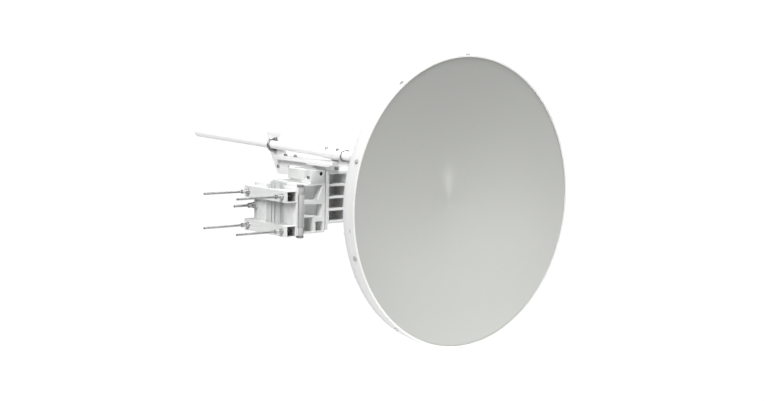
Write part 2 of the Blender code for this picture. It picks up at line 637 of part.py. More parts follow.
def make_upper_bracket(shop):
    """The block bolted on top of the bracket, with the sight hole in its front."""
    upper = shop.box("upper_bracket", UPPER_X, UPPER_Y, (BRACKET_Z[1] + GAP, UPPER_TOP))
    recess = shop.box("upper_recess", (UPPER_X[0] - OVER, RECESS_RIGHT), RECESS_Y,
                      (RECESS_BOTTOM, UPPER_TOP + OVER))
    hollow = shop.box("upper_hollow", (UPPER_X[0] + UPPER_HOLLOW_WALL, UPPER_X[1] - BRACKET_WALL),
                      (UPPER_HOLLOW_FRONT, UPPER_Y[1] + OVER), (RECESS_BOTTOM - BITE, UPPER_TOP - UPPER_SKIN))
    undercut = shop.box("upper_undercut", (UPPER_X[0] - OVER, UPPER_X[0] + BRACKET_WALL),
                        (UNDERCUT_FRONT, UPPER_Y[1] + OVER), (0.0, UNDERCUT_TOP))
    sight = shop.rod("sight_hole", (SIGHT_HOLE[0], UPPER_Y[0] - OVER, SIGHT_HOLE[1]),
                     (SIGHT_HOLE[0], UPPER_Y[0] + SIGHT_HOLE_DEPTH, SIGHT_HOLE[1]), SIGHT_HOLE_RADIUS)
    lock_level = ELEVATION_Z + LOCK_CIRCLE_RADIUS
    lock_hole = shop.rod("upper_lock_hole", (POCKET_RIGHT - OVER, ELEVATION_Y, lock_level),
                         (UPPER_X[1] + OVER, ELEVATION_Y, lock_level), LOCK_BOLT_RADIUS + GAP)
    head_room = shop.box("upper_lock_room", (POCKET_RIGHT - LOCK_HEAD_ROOM, POCKET_RIGHT),
                         (ELEVATION_Y - LOCK_HEAD_ROOM - BITE, UPPER_Y[1] + OVER), LOCK_HEAD_ROOM_Z)
    shop.cut(upper, recess, hollow, undercut, sight, lock_hole, head_room)
    shop.part(upper, CASTING, shop.azimuth_frame)


def make_pole_clamp(shop):
    """The casting with the pole groove, the jaws, the rods and the azimuth pivot and adjuster."""
    body = shop.box("clamp_body", CLAMP_X, CLAMP_Y, CLAMP_Z)
    crest = shop.box("clamp_crest", (CREST_X, CLAMP_X[1] - SLIDE_GAP), CREST_Y,
                     (CLAMP_Z[1] - BITE, CREST_TOP))
    back = shop.box("clamp_back", (CLAMP_X[1] - BITE, CLAMP_BACK_X), CLAMP_BACK_Y,
                    (CLAMP_Z[0] + CLAMP_BACK_MARGIN, CLAMP_Z[1] - CLAMP_BACK_MARGIN))
    shop.fuse(body, crest, back)
    notch_z = (KNUCKLE_Z[0] - SLIDE_GAP, KNUCKLE_Z[1] + SLIDE_GAP)
    reach = POST_RADIUS + KNUCKLE_CLEARANCE
    notch = shop.rod("knuckle_notch", (POST_X, POST_Y, notch_z[0]), (POST_X, POST_Y, notch_z[1]), reach, 24)
    room = shop.box("knuckle_room", (POST_X - reach + GAP, CLAMP_X[1] + OVER),
                    (CLAMP_Y[0] - OVER, POST_Y + BITE / 2), notch_z)
    shop.cut(body, notch, room)
    for side, low, high in (("upper", notch_z[1], CLAMP_Z[1] + SLIDE_GAP),
                            ("lower", CLAMP_Z[0] - SLIDE_GAP, notch_z[0])):
        shop.fuse(body, shop.rod(f"{side}_knuckle", (POST_X, POST_Y, low),
                                 (POST_X, POST_Y, high), POST_RADIUS, 24))
    flare = OVER * (GROOVE_HALF_MOUTH - GROOVE_HALF_FLOOR) / (GROOVE_FLOOR_X - CLAMP_X[0])
    groove = shop.plate("pole_groove", mirrored([
        (GROOVE_FLOOR_X, GROOVE_HALF_FLOOR), (CLAMP_X[0], GROOVE_HALF_MOUTH),
        (CLAMP_X[0] - OVER, GROOVE_HALF_MOUTH + flare)]),
        CLAMP_Z[0] - OVER, CREST_TOP - CLAMP_Z[0] + 2 * OVER, "Z")
    post_hole = shop.rod("clamp_post_hole", (POST_X, POST_Y, CLAMP_Z[0] - OVER),
                         (POST_X, POST_Y, CLAMP_Z[1] + OVER), POST_BOLT_RADIUS + GAP)
    boss_end = CLAMP_X[0] - ADJUSTER_BOSS_LENGTH
    shop.fuse(body, shop.rod("adjuster_boss", (boss_end, ADJUSTER_Y, ADJUSTER_Z),
                             (CLAMP_X[0] + BITE, ADJUSTER_Y, ADJUSTER_Z), ADJUSTER_BOSS_RADIUS, 24))
    adjuster_hole = shop.rod("adjuster_hole", (boss_end - OVER, ADJUSTER_Y, ADJUSTER_Z),
                             (CLAMP_X[1] + OVER, ADJUSTER_Y, ADJUSTER_Z), ADJUSTER_RADIUS + GAP, 12)
    shop.cut(body, groove, post_hole, adjuster_hole)
    for row, side in (("upper", 1), ("lower", -1)):
        make_jaw(shop, body, row, CLAMP_MIDDLE_Z + side * ROD_SPACING_Z / 2)
    shop.part(body, CASTING, shop.clamp_frame)
    make_azimuth_pivot(shop)
    make_azimuth_adjuster(shop)


def mirrored(half):
    """An outline of (x, y) about the pole's plane, from its half of (x, distance from that plane)."""
    far_side = [(x, POLE_Y + offset) for x, offset in half]
    near_side = [(x, POLE_Y - offset) for x, offset in reversed(half)]
    return far_side + near_side


def make_jaw(shop, body, row, level):
    """A jaw with its two rods and their nuts; the rods' sockets are cut into the clamp's body."""
    mouth = CLAMP_X[0] - GAP
    jaw = shop.box(f"{row}_jaw", (JAW_OUTER_X, mouth), (POLE_Y - JAW_HALF_LENGTH, POLE_Y + JAW_HALF_LENGTH),
                   (level - JAW_HALF_HEIGHT, level + JAW_HALF_HEIGHT))
    notch = shop.plate(f"{row}_jaw_notch", mirrored([
        (mouth - JAW_NOTCH_DEPTH, GROOVE_HALF_FLOOR), (mouth + OVER, GROOVE_HALF_MOUTH + JAW_MOUTH_FLARE)]),
        level - JAW_HALF_HEIGHT - OVER, 2 * (JAW_HALF_HEIGHT + OVER), "Z")
    shop.cut(jaw, notch)
    for column, side in (("front", -1), ("rear", 1)):
        across = POLE_Y + side * ROD_SPACING_Y / 2
        start = (ROD_END_X, across, level)
        end_x = CLAMP_X[0] + ROD_SOCKET_DEPTH
        threaded = shop.rod(f"clamp_rod_{row}_{column}", start, (end_x, across, level), ROD_RADIUS, 12)
        shop.part(threaded, ZINC, shop.clamp_frame)
        hole = shop.rod(f"rod_hole_{row}_{column}", start, (end_x + GAP, across, level), ROD_RADIUS + GAP, 12)
        pocket = shop.box(f"jaw_pocket_{row}_{column}", (JAW_OUTER_X + JAW_SKIN, CLAMP_X[0] - JAW_SKIN),
                          sorted(across + side * offset for offset in JAW_POCKET),
                          (level - JAW_HALF_HEIGHT + JAW_SKIN, level + JAW_HALF_HEIGHT - JAW_SKIN))
        shop.cut(jaw, hole, pocket)
        shop.cut(body, hole)
        make_nut_stack(shop, f"clamp_nut_{row}_{column}", (JAW_OUTER_X, across, level), ROD_RADIUS,
                       SPACER_THICKNESS)
    shop.part(jaw, CASTING, shop.clamp_frame)


def make_azimuth_pivot(shop):
    """The bolt that the bracket's knuckle hangs on, with a head above and a nut below."""
    post = shop.rod("azimuth_pivot_bolt", (POST_X, POST_Y, CLAMP_Z[0] - 1.2 * NUT_THICKNESS),
                    (POST_X, POST_Y, CLAMP_Z[1] + NUT_THICKNESS / 2), POST_BOLT_RADIUS)
    face = SLIDE_GAP + GAP
    for name, low, high in (("head", CLAMP_Z[1] + face, CLAMP_Z[1] + face + NUT_THICKNESS),
                            ("nut", CLAMP_Z[0] - face - NUT_THICKNESS, CLAMP_Z[0] - face)):
        shop.fuse(post, shop.rod(f"post_{name}", (POST_X, POST_Y, low),
                                 (POST_X, POST_Y, high), POST_NUT_RADIUS, 6))
    shop.part(post, ZINC, shop.clamp_frame)


def make_azimuth_adjuster(shop):
    """The threaded rod that turns the bracket, with its nuts on both sides of the clamp."""
    adjuster = shop.rod("azimuth_adjuster_rod", (ADJUSTER_X[0], ADJUSTER_Y, ADJUSTER_Z),
                        (ADJUSTER_X[1], ADJUSTER_Y, ADJUSTER_Z), ADJUSTER_RADIUS, 12)
    shop.part(adjuster, ZINC, shop.clamp_frame)
    make_nut_stack(shop, "azimuth_adjuster_nut", (CLAMP_X[0] - ADJUSTER_BOSS_LENGTH, ADJUSTER_Y, ADJUSTER_Z),
                   ADJUSTER_RADIUS, ADJUSTER_SPACER_THICKNESS)
    inner = shop.rod("azimuth_adjuster_lock_nut", (CLAMP_X[1] + GAP, ADJUSTER_Y, ADJUSTER_Z),
                     (CLAMP_X[1] + NUT_THICKNESS, ADJUSTER_Y, ADJUSTER_Z), LOCK_NUT_RADIUS, 6)
    shop.cut(inner, shop.rod("lock_nut_bore", (CLAMP_X[1] - OVER, ADJUSTER_Y, ADJUSTER_Z),
                             (CLAMP_X[1] + 2 * OVER, ADJUSTER_Y, ADJUSTER_Z), ADJUSTER_RADIUS + GAP, 12))
    shop.part(inner, ZINC, shop.clamp_frame)


def make_nut_stack(shop, name, place, bore, spacer):
    """A washer, a nut, a spacer and a second nut on a rod along X, from a face that looks to -X."""
    face, across, level = place
    hexagon = 1.95 * bore
    steps = [("washer", WASHER_THICKNESS, 2.4 * bore, 20), ("nut", 2.0 * bore, hexagon, 6),
             ("spacer", spacer, 1.5 * bore, 20), ("second_nut", 2.0 * bore, hexagon, 6)]
    start = face - GAP
    stack = None
    for label, length, radius, sides in steps:
        overlap = 0.0 if stack is None else BITE / 4
        piece = shop.rod(name if stack is None else f"{name}_{label}", (start + overlap, across, level),
                         (start - length, across, level), radius, sides)
        start -= length
        if stack is None:
            stack = piece
        else:
            shop.fuse(stack, piece)
    shop.cut(stack, shop.rod(name + "_bore", (face + OVER, across, level), (start - OVER, across, level),
                             bore + GAP, 12))
    shop.part(stack, ZINC, shop.clamp_frame)


def strut_height(along):
    """Height of the strut's middle line at a distance behind the rim's front edge."""
    return STRUT_DATUM[1] + STRUT_SLOPE * (along - STRUT_DATUM[0])


def strut_point(along):
    """A point on the strut's middle line."""
    return Vector((STRUT_X, along, strut_height(along)))


def make_strut(shop):
    """The steadying tube, the sleeve round its front end and its two caps."""
    front, rear = STRUT_Y
    tube = shop.rod("strut_tube", strut_point(front), strut_point(rear), STRUT_RADIUS, 24)
    shop.cut(tube, shop.rod("strut_bore", strut_point(front - OVER), strut_point(rear + OVER),
                            STRUT_RADIUS - STRUT_WALL, 24))
    shop.part(tube, WHITE, shop.antenna_frame)
    sleeve = shop.rod("strut_sleeve", strut_point(SLEEVE_Y[0]), strut_point(SLEEVE_Y[1]), SLEEVE_RADIUS, 24)
    shop.cut(sleeve, shop.rod("sleeve_bore", strut_point(SLEEVE_Y[0] - OVER), strut_point(SLEEVE_Y[1] + OVER),
                              STRUT_RADIUS + GAP, 24))
    shop.part(sleeve, WHITE, shop.antenna_frame)
    for name, end, inward in (("strut_cap_front", front, 1), ("strut_cap_rear", rear, -1)):
        disc = shop.rod(name, strut_point(end - inward * CAP_FACE), strut_point(end - inward * GAP),
                        STRUT_RADIUS, 24)
        plug = shop.rod(name + "_plug", strut_point(end - inward * CAP_FACE / 2),
                        strut_point(end + inward * CAP_PLUG), STRUT_RADIUS - STRUT_WALL - GAP, 24)
        shop.fuse(disc, plug)
        shop.part(disc, PLASTIC, shop.antenna_frame)


def make_u_bolt(shop, name, along, bar, leg):
    """A bent bar round the strut's pole side, with a nut on each leg behind its plate.

    The bar is its radius, and the leg is how far each leg stands from the strut's middle line.
    """
    middle = strut_height(along)
    leg_end = STRUT_PLATE_X[1] + U_BOLT_TAIL
    bend = [math.radians(angle) for angle in range(90, 271, 15)]
    centre_x = STRUT_X + leg - STRUT_RADIUS - bar - 2 * GAP
    points = [(leg_end, along, middle + leg)]
    points += [(centre_x + leg * math.cos(angle), along, middle + leg * math.sin(angle)) for angle in bend]
    points.append((leg_end, along, middle - leg))
    bolt = shop.wire(name, points, bar)
    for side in (-1, 1):
        level = middle + side * leg
        nut = shop.rod(f"{name}_nut_{side}", (STRUT_PLATE_X[1] + GAP, along, level),
                       (STRUT_PLATE_X[1] + 2 * bar, along, level), 1.9 * bar, 6)
        shop.fuse(bolt, nut)
    shop.part(bolt, ZINC, shop.antenna_frame)


def make_strut_mount(shop):
    """The outrigger that carries the strut on the support arm, and the plates and bolts that hold it."""
    foot_top = DECK_BOTTOM - GAP
    foot = shop.box("outrigger_foot", (FOOT_LEFT, DECK_RIGHT), FOOT_Y, (ARM_HALF_HEIGHT + GAP, foot_top))
    shop.cut(foot, shop.box("foot_channel", (FOOT_LEFT + FOOT_WALL, DECK_RIGHT - FOOT_WALL),
                            (FOOT_Y[0] - OVER, FOOT_Y[1] + OVER),
                            (ARM_HALF_HEIGHT + GAP + FOOT_WALL, foot_top - FOOT_WALL)))
    shop.part(foot, WHITE, shop.antenna_frame)
    deck = shop.box("outrigger_deck", (OUTRIGGER_X[0], DECK_RIGHT), DECK_Y,
                    (DECK_BOTTOM, OUTRIGGER_Z[0] - GAP))
    shop.part(deck, WHITE, shop.antenna_frame)
    bar = shop.box("strut_outrigger", OUTRIGGER_X, OUTRIGGER_Y, OUTRIGGER_Z)
    shop.part(bar, WHITE, shop.antenna_frame)

    width = STRUT_PLATE_X[1] - STRUT_PLATE_X[0]
    rows = (("rear", REAR_PLATE, REAR_U_BOLT_Y, REAR_U_BOLT_RADIUS, REAR_U_BOLT_LEG),
            ("front", FRONT_PLATE, FRONT_U_BOLT_Y, FRONT_U_BOLT_RADIUS, FRONT_U_BOLT_LEG))
    for end, outline, along, bar, leg in rows:
        name = f"{end}_strut_plate"
        plate = shop.plate(name, outline, STRUT_PLATE_X[0], width, "X")
        for side in (-1, 1):
            level = strut_height(along) + side * leg
            shop.cut(plate, shop.rod(f"{name}_hole_{side}", (STRUT_PLATE_X[0] - OVER, along, level),
                                     (STRUT_PLATE_X[1] + OVER, along, level), bar + GAP, 12))
        shop.part(plate, WHITE, shop.antenna_frame)
        make_u_bolt(shop, f"{end}_u_bolt", along, bar, leg)

    middle = strut_height(REAR_U_BOLT_Y)
    saddle = shop.box("rear_strut_saddle", (STRUT_X + SADDLE_BACK, STRUT_PLATE_X[0] - GAP),
                      (REAR_U_BOLT_Y - SADDLE_HALF_LENGTH, REAR_U_BOLT_Y + SADDLE_HALF_LENGTH),
                      (middle - SADDLE_HALF_HEIGHT, middle + SADDLE_HALF_HEIGHT))
    bed = shop.rod("saddle_bed", strut_point(REAR_U_BOLT_Y - 2 * SADDLE_HALF_LENGTH),
                   strut_point(REAR_U_BOLT_Y + 2 * SADDLE_HALF_LENGTH), STRUT_RADIUS + GAP, 24)
    shop.part(shop.cut(saddle, bed), ZINC, shop.antenna_frame)


def main():
    """Builds every piece of the antenna."""
    shop = Workshop()
    make_dish(shop)
    make_support_arm(shop)
    make_elevation_joint(shop)
    make_azimuth_bracket(shop)
    make_upper_bracket(shop)
    make_pole_clamp(shop)
    make_strut(shop)
    make_strut_mount(shop)
    bpy.context.view_layer.update()


main()
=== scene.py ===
"""Looks of a 1.2 m parabolic dish antenna on its pole clamp.

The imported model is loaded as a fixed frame, and each assembly below finishes one part of it. Sizes
are in metres. They are written in the dish's own frame: the middle of the rim's front edge is the
origin, the dish looks along -Y, +X runs from the pole to the dish and +Z is up. DISH_CENTRE moves
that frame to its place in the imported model. A depth is a distance behind the rim's front edge.
"""

from __future__ import annotations

import json
import logging
from collections.abc import Sequence
from dataclasses import dataclass, replace
from enum import Enum
from math import cos, hypot, pi, radians, sin, tan

import bmesh
import bpy
from mathutils import Matrix, Vector

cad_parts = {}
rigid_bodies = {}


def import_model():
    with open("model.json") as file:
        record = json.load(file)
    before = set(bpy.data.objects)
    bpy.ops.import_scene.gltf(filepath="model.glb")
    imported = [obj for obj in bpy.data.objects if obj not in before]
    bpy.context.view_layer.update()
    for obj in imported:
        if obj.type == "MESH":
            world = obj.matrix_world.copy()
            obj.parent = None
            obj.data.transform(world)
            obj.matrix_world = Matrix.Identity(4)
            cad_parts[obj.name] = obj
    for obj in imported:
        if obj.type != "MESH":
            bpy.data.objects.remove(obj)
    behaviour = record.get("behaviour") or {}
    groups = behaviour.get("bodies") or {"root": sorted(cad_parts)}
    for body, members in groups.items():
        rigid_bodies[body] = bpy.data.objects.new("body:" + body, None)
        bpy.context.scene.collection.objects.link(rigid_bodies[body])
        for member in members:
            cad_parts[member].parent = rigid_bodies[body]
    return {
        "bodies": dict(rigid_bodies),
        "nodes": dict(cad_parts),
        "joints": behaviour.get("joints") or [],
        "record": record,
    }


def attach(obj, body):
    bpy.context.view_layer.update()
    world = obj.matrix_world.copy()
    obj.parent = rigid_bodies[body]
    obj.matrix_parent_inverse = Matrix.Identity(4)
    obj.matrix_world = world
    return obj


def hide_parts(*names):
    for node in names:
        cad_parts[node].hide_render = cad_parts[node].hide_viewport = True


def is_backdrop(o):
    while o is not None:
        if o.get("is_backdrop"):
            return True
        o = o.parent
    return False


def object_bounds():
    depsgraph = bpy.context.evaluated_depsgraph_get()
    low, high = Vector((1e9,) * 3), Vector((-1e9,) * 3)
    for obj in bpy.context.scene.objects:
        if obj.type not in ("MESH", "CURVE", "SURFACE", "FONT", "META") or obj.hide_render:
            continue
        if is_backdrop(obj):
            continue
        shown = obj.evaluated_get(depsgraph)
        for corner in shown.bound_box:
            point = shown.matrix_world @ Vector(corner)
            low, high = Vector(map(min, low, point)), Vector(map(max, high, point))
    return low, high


LOG = logging.getLogger("dish_antenna")

Colour = tuple[float, float, float]
Point = tuple[float, float, float]
Pair = tuple[float, float]
Box = tuple[Point, Point]
Profile = Sequence[Pair]
Inputs = dict[str | int, object]
Mesh, Shape = bpy.types.Mesh, bmesh.types.BMesh
Tree, Node = bpy.types.NodeTree, bpy.types.Node
Socket, Sockets = bpy.types.NodeSocket, bpy.types.NodeOutputs
Placed = tuple[Shape, Matrix]

DISH_CENTRE = Vector((0.527, -0.600, 0.058))
LEFT, RIGHT = Vector((-1.0, 0.0, 0.0)), Vector((1.0, 0.0, 0.0))
UP, OUT_FRONT = Vector((0.0, 0.0, 1.0)), Vector((0.0, -1.0, 0.0))
UNMOVED = Matrix.Identity(4)
# The box round the pivot knuckle, inside which the castings get painted shade.
KNUCKLE: Box = ((-0.5345, 0.4395, -0.1510), (-0.5035, 0.4705, 0.0620))
SHADER, GEOMETRY = "ShaderNodeTree", "GeometryNodeTree"
MERGE = 0.00002
CAST_EDGE = 0.0014
SHARP_ANGLE, BEVEL_ANGLE, FLAT_ANGLE, CHAMFER_ANGLE = 25.0, 35.0, 1.0, 28.0  # in degrees
DISH_STEPS, FLANGE_STEPS, STRUT_STEPS, HARDWARE_STEPS, HEXAGON_STEPS = 192, 96, 64, 40, 48
CHAMFER_LAND = 0.94  # of a hexagon's half width
BOLT_FLATS, BOLT_HEIGHT, BOLT_WASHER = 3.3, 1.4, 0.3  # of a bolt's radius


class Body(str, Enum):
    """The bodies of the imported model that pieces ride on."""

    CLAMP = "pole_clamp"
    MOUNT = "azimuth_mount"
    ANTENNA = "antenna"


class Slot(str, Enum):
    """The record's material slots."""

    CASTING = "casting_grey"
    ZINC = "zinc_steel"
    SPUN = "spun_aluminium"
    RING = "ring_white"
    RIM = "rim_white"
    RADOME = "radome_grey"
    COAT = "steel_white"
    CAP = "cap_plastic"


def grey(level: float) -> Colour:
    """A neutral colour."""
    return level, level, level


class NodeSheet:
    """A node tree under construction. Inputs go by name or number, as plain values or as sockets."""

    def __init__(self, tree: Tree) -> None:
        """Starts on a shader or geometry tree."""
        self.tree = tree

    def fill(self, node: Node, inputs: Inputs) -> None:
        """Sets or links some of a node's inputs.

        Args:
            node: The node.
            inputs: The inputs.
        """
        for key, value in inputs.items():
            if isinstance(value, Socket):
                self.tree.links.new(value, node.inputs[key])
            else:
                node.inputs[key].default_value = value

    def add(self, kind: str, inputs: Inputs | None = None, **settings: object) -> Node:
        """Adds a node.

        Args:
            kind: The node's type name.
            inputs: Its inputs.
            **settings: Properties of the node itself.

        Returns:
            The new node.
        """
        node = self.tree.nodes.new(kind)
        for key, value in settings.items():
            setattr(node, key, value)
        self.fill(node, inputs or {})
        return node

    def out(self, kind: str, inputs: Inputs | None = None, **settings: object) -> Socket:
        """Adds a node and gives its first output."""
        return self.add(kind, inputs, **settings).outputs[0]

    def maths(self, operation: str, first: object, second: object) -> Socket:
        """A Math node's result for two values or sockets."""
        return self.out("ShaderNodeMath", {0: first, 1: second}, operation=operation)

    def product(self, first: object, *others: object) -> Socket:
        """Several values or sockets multiplied.

        Args:
            first: The first.
            *others: The rest.

        Returns:
            The product.
        """
        for other in others:
            first = self.maths("MULTIPLY", first, other)
        return first

    def ramp(self, value: Socket, low: float, high: float, start: float = 0.0, end: float = 1.0) -> Socket:
        """A value mapped from low and high to start and end, and held there beyond them."""
        return self.out("ShaderNodeMapRange", {0: value, 1: low, 2: high, 3: start, 4: end})

    def place(self) -> Socket:
        """The Object coordinates."""
        return self.add("ShaderNodeTexCoord").outputs["Object"]

    def noise(self, scale: object, detail: float) -> Socket:
        """A noise over the Object coordinates."""
        return self.out("ShaderNodeTexNoise", {"Vector": self.place(), "Scale": scale, "Detail": detail})

    def mixed(self, share: Socket, first: object, second: object) -> Socket:
        """Two colours mixed."""
        return self.add("ShaderNodeMix", {0: share, 6: first, 7: second}, data_type="RGBA").outputs[2]

    def split(self, vector: Socket) -> Sockets:
        """The X, Y and Z of a vector."""
        return self.add("ShaderNodeSeparateXYZ", {0: vector}).outputs


def new_group(name: str, kind: str, inputs: dict[str, object],
              outputs: dict[str, str]) -> tuple[NodeSheet, Sockets, Node]:
    """Makes an empty node group with named sockets.

    Args:
        name: The group's name.
        kind: Its tree's type.
        inputs: Each input's default, or the name of its type where it has none.
        outputs: The name of each output's type.

    Returns:
        The group's sheet, the sockets of its inputs and its output node.
    """
    tree = bpy.data.node_groups.new(name, kind)
    prefix = "NodeSocket"
    for label, default in inputs.items():
        if isinstance(default, str):
            tree.interface.new_socket(label, in_out="INPUT", socket_type=prefix + default)
            continue
        if isinstance(default, tuple):
            held = {3: "Vector", 4: "Color"}[len(default)]
        else:
            held = type(default).__name__.capitalize()
        tree.interface.new_socket(label, in_out="INPUT", socket_type=prefix + held).default_value = default
    for label, held in outputs.items():
        tree.interface.new_socket(label, in_out="OUTPUT", socket_type=prefix + held)
    sheet = NodeSheet(tree)
    return sheet, sheet.add("NodeGroupInput").outputs, sheet.add("NodeGroupOutput")


class SurfaceEffects:
    """The shader groups that several finishes share."""

    def __init__(self) -> None:
        """Builds the groups once."""
        self.tone = self.make_tone()
        self.grain = self.make_grain()
        self.dust = self.make_dust()
        self.rings = self.make_rings()
        self.groove = self.make_groove()
        self.hollow = self.make_hollow()

    @staticmethod
    def make_tone() -> Tree:
        """A slow change between two colours over the surface, with a finer mottle in it.

        Returns:
            The group.
        """
        sheet, given, result = new_group("surface_tone", SHADER, {
            "Colour": (*grey(0.8), 1.0), "Shade": (*grey(0.7), 1.0), "Scale": 5.0, "Amount": 0.5},
            {"Colour": "Color", "Mask": "Float"})
        broad = sheet.noise(given["Scale"], 3.0)
        fine = sheet.noise(sheet.product(given["Scale"], 14.0), 4.0)
        both = sheet.maths("ADD", sheet.product(broad, 0.65), sheet.product(fine, 0.35))
        mask = sheet.ramp(both, 0.35, 0.65)
        colour = sheet.mixed(sheet.product(mask, given["Amount"]), given["Colour"], given["Shade"])
        sheet.fill(result, {"Colour": colour, "Mask": mask})
        return sheet.tree

    @staticmethod
    def make_grain() -> Tree:
        """A small relief: rounded cells with a fine noise over them.

        Returns:
            The group.
        """
        sheet, given, result = new_group("surface_grain", SHADER, {"Scale": 600.0, "Cells": 0.5},
                                         {"Height": "Float"})
        cells = sheet.out("ShaderNodeTexVoronoi", {"Vector": sheet.place(), "Scale": given["Scale"]},
                          feature="SMOOTH_F1")
        rounded = sheet.product(cells, given["Cells"])
        sheet.fill(result, {"Height": sheet.maths("ADD", sheet.noise(given["Scale"], 3.0), rounded)})
        return sheet.tree

    @staticmethod
    def make_dust() -> Tree:
        """A faint film on faces that look up, in patches.

        Returns:
            The group.
        """
        sheet, given, result = new_group("settled_dust", SHADER, {
            "Colour": (*grey(0.8), 1.0), "Film": (0.6, 0.58, 0.54, 1.0), "Roughness": 0.4, "Amount": 0.2},
            {"Colour": "Color", "Roughness": "Float"})
        upward = sheet.split(sheet.add("ShaderNodeNewGeometry").outputs["Normal"])["Z"]
        patches = sheet.ramp(sheet.noise(22.0, 6.0), 0.3, 0.8)
        share = sheet.product(sheet.ramp(upward, 0.2, 1.0), patches, given["Amount"])
        rough = sheet.maths("ADD", given["Roughness"], sheet.product(share, 0.3))
        sheet.fill(result, {"Colour": sheet.mixed(share, given["Colour"], given["Film"]), "Roughness": rough})
        return sheet.tree

    @staticmethod
    def make_rings() -> Tree:
        """The fine rings that spinning or turning leaves round the dish's axis.

        Returns:
            The group.
        """
        sheet, given, result = new_group("turned_rings", SHADER, {"Scale": 900.0}, {"Height": "Float"})
        place = sheet.split(sheet.place())
        across = sheet.maths("SUBTRACT", place["X"], DISH_CENTRE.x)
        up = sheet.maths("SUBTRACT", place["Z"], DISH_CENTRE.z)
        square = sheet.maths("ADD", sheet.product(across, across), sheet.product(up, up))
        radius = sheet.maths("SQRT", square, 0.0)
        wide = sheet.maths("DIVIDE", given["Scale"], 30.0)
        fine, broad = (
            sheet.out("ShaderNodeTexNoise", {"W": radius, "Scale": scale, "Detail": detail},
                      noise_dimensions="1D") for scale, detail in ((given["Scale"], 4.0), (wide, 2.0)))
        sheet.fill(result, {"Height": sheet.maths("ADD", sheet.product(fine, 0.4), broad)})
        return sheet.tree

    @staticmethod
    def make_groove() -> Tree:
        """Painted shade in the pole groove: a darker colour over its slopes and floor; the origin lies on the
        groove's floor.

        Returns:
            The group.
        """
        sheet, given, result = new_group("painted_groove_shade", SHADER, {
            "Colour": (*grey(0.8), 1.0), "Rubbed": (*grey(0.5), 1.0), "Half Width": 0.066,
            "Depth": 0.0168, "Mouth": 0.0056}, {"Colour": "Color"})
        place = sheet.split(sheet.place())
        wander = sheet.product(sheet.maths("SUBTRACT", sheet.noise(90.0, 4.0), 0.5), 0.004)
        reach = sheet.maths("ABSOLUTE", sheet.maths("ADD", place["Y"], wander), 0.0)
        aside = sheet.maths("SUBTRACT", given["Half Width"], reach)
        inward = sheet.maths("ADD", place["X"], given["Depth"])
        within = sheet.maths("LESS_THAN", place["X"], given["Mouth"])
        share = sheet.product(sheet.ramp(aside, 0.0, 0.003), sheet.ramp(inward, 0.0, 0.001), within)
        sheet.fill(result, {"Colour": sheet.mixed(share, given["Colour"], given["Rubbed"])})
        return sheet.tree

    @staticmethod
    def make_hollow() -> Tree:
        """Painted shade inside a deep pocket: a darker colour between two corners of a box, where shade
        falls.

        Returns:
            The group.
        """
        sheet, given, result = new_group("hollow", SHADER, {
            "Colour": (*grey(0.8), 1.0), "Hollow": (*grey(0.3), 1.0), "Low": grey(0.0), "High": grey(0.0)},
            {"Colour": "Color"})
        place = sheet.place()
        inside = []
        for first, second in ((place, given["Low"]), (given["High"], place)):
            depth = sheet.out("ShaderNodeVectorMath", {0: first, 1: second}, operation="SUBTRACT")
            inside += [sheet.maths("GREATER_THAN", side, 0.0) for side in sheet.split(depth)]
        sheet.fill(result, {"Colour": sheet.mixed(sheet.product(*inside), given["Colour"], given["Hollow"])})
        return sheet.tree


@dataclass(frozen=True)
class Finish:
    """A surface for one of the record's slots: two tones, a gloss, a small relief and, where asked, painted
    shade in the pole groove and in pockets.
    """

    slot: Slot
    name: str
    colour: Colour
    shade: Colour
    roughness: float
    metallic: float = 0.0
    tone_scale: float = 5.0
    tone_amount: float = 0.5
    patchiness: float = 0.08
    grain_scale: float = 700.0
    grain_cells: float = 0.5
    grain_depth: float = 0.00004
    coat: float = 0.0
    coat_roughness: float = 0.1
    specular: float = 0.5
    dust: float = 0.1
    ringed: bool = False
    # The next three fields give painted shade: a darker colour for the pole groove, and a darker colour with
    # the boxes of the pockets that it fills.
    rubbed: Colour | None = None
    hollow: Colour = grey(0.3)
    hollows: tuple[Box, ...] = ()

    def material(self, effects: SurfaceEffects) -> bpy.types.Material:
        """Builds the material from the shared effects.

        Args:
            effects: The shader groups.

        Returns:
            The material.
        """
        made = bpy.data.materials.new(self.name)
        made.use_nodes = True
        sheet = NodeSheet(made.node_tree)

        def effect(tree: Tree, inputs: Inputs) -> Sockets:
            """Places a shared group and gives its outputs."""
            return sheet.add("ShaderNodeGroup", inputs, node_tree=tree).outputs

        tone = effect(effects.tone, {"Colour": (*self.colour, 1.0), "Shade": (*self.shade, 1.0),
                                     "Scale": self.tone_scale, "Amount": self.tone_amount})
        patchy = sheet.maths("ADD", sheet.product(tone["Mask"], self.patchiness),
                             self.roughness - self.patchiness / 2.0)
        colour = tone["Colour"]
        # Painted shade: the pole groove and each pocket's box get a darker colour where shade falls in them.
        if self.rubbed:
            colour = effect(effects.groove, {"Colour": colour, "Rubbed": (*self.rubbed, 1.0)})["Colour"]
        for low, high in self.hollows:
            colour = effect(effects.hollow, {"Colour": colour, "Hollow": (*self.hollow, 1.0),
                                             "Low": DISH_CENTRE + Vector(low),
                                             "High": DISH_CENTRE + Vector(high)})["Colour"]
        dust = effect(effects.dust, {"Colour": colour, "Roughness": patchy, "Amount": self.dust})
        if self.ringed:
            grain = effect(effects.rings, {"Scale": self.grain_scale})
        else:
            grain = effect(effects.grain, {"Scale": self.grain_scale, "Cells": self.grain_cells})
        bump = sheet.out("ShaderNodeBump", {"Height": grain["Height"], "Strength": 1.0,
                                            "Distance": self.grain_depth})
        sheet.fill(made.node_tree.nodes["Principled BSDF"], {
            "Metallic": self.metallic, "Specular IOR Level": self.specular, "Coat Weight": self.coat,
            "Coat Roughness": self.coat_roughness, "Base Color": dust["Colour"],
            "Roughness": dust["Roughness"], "Normal": bump})
        return made


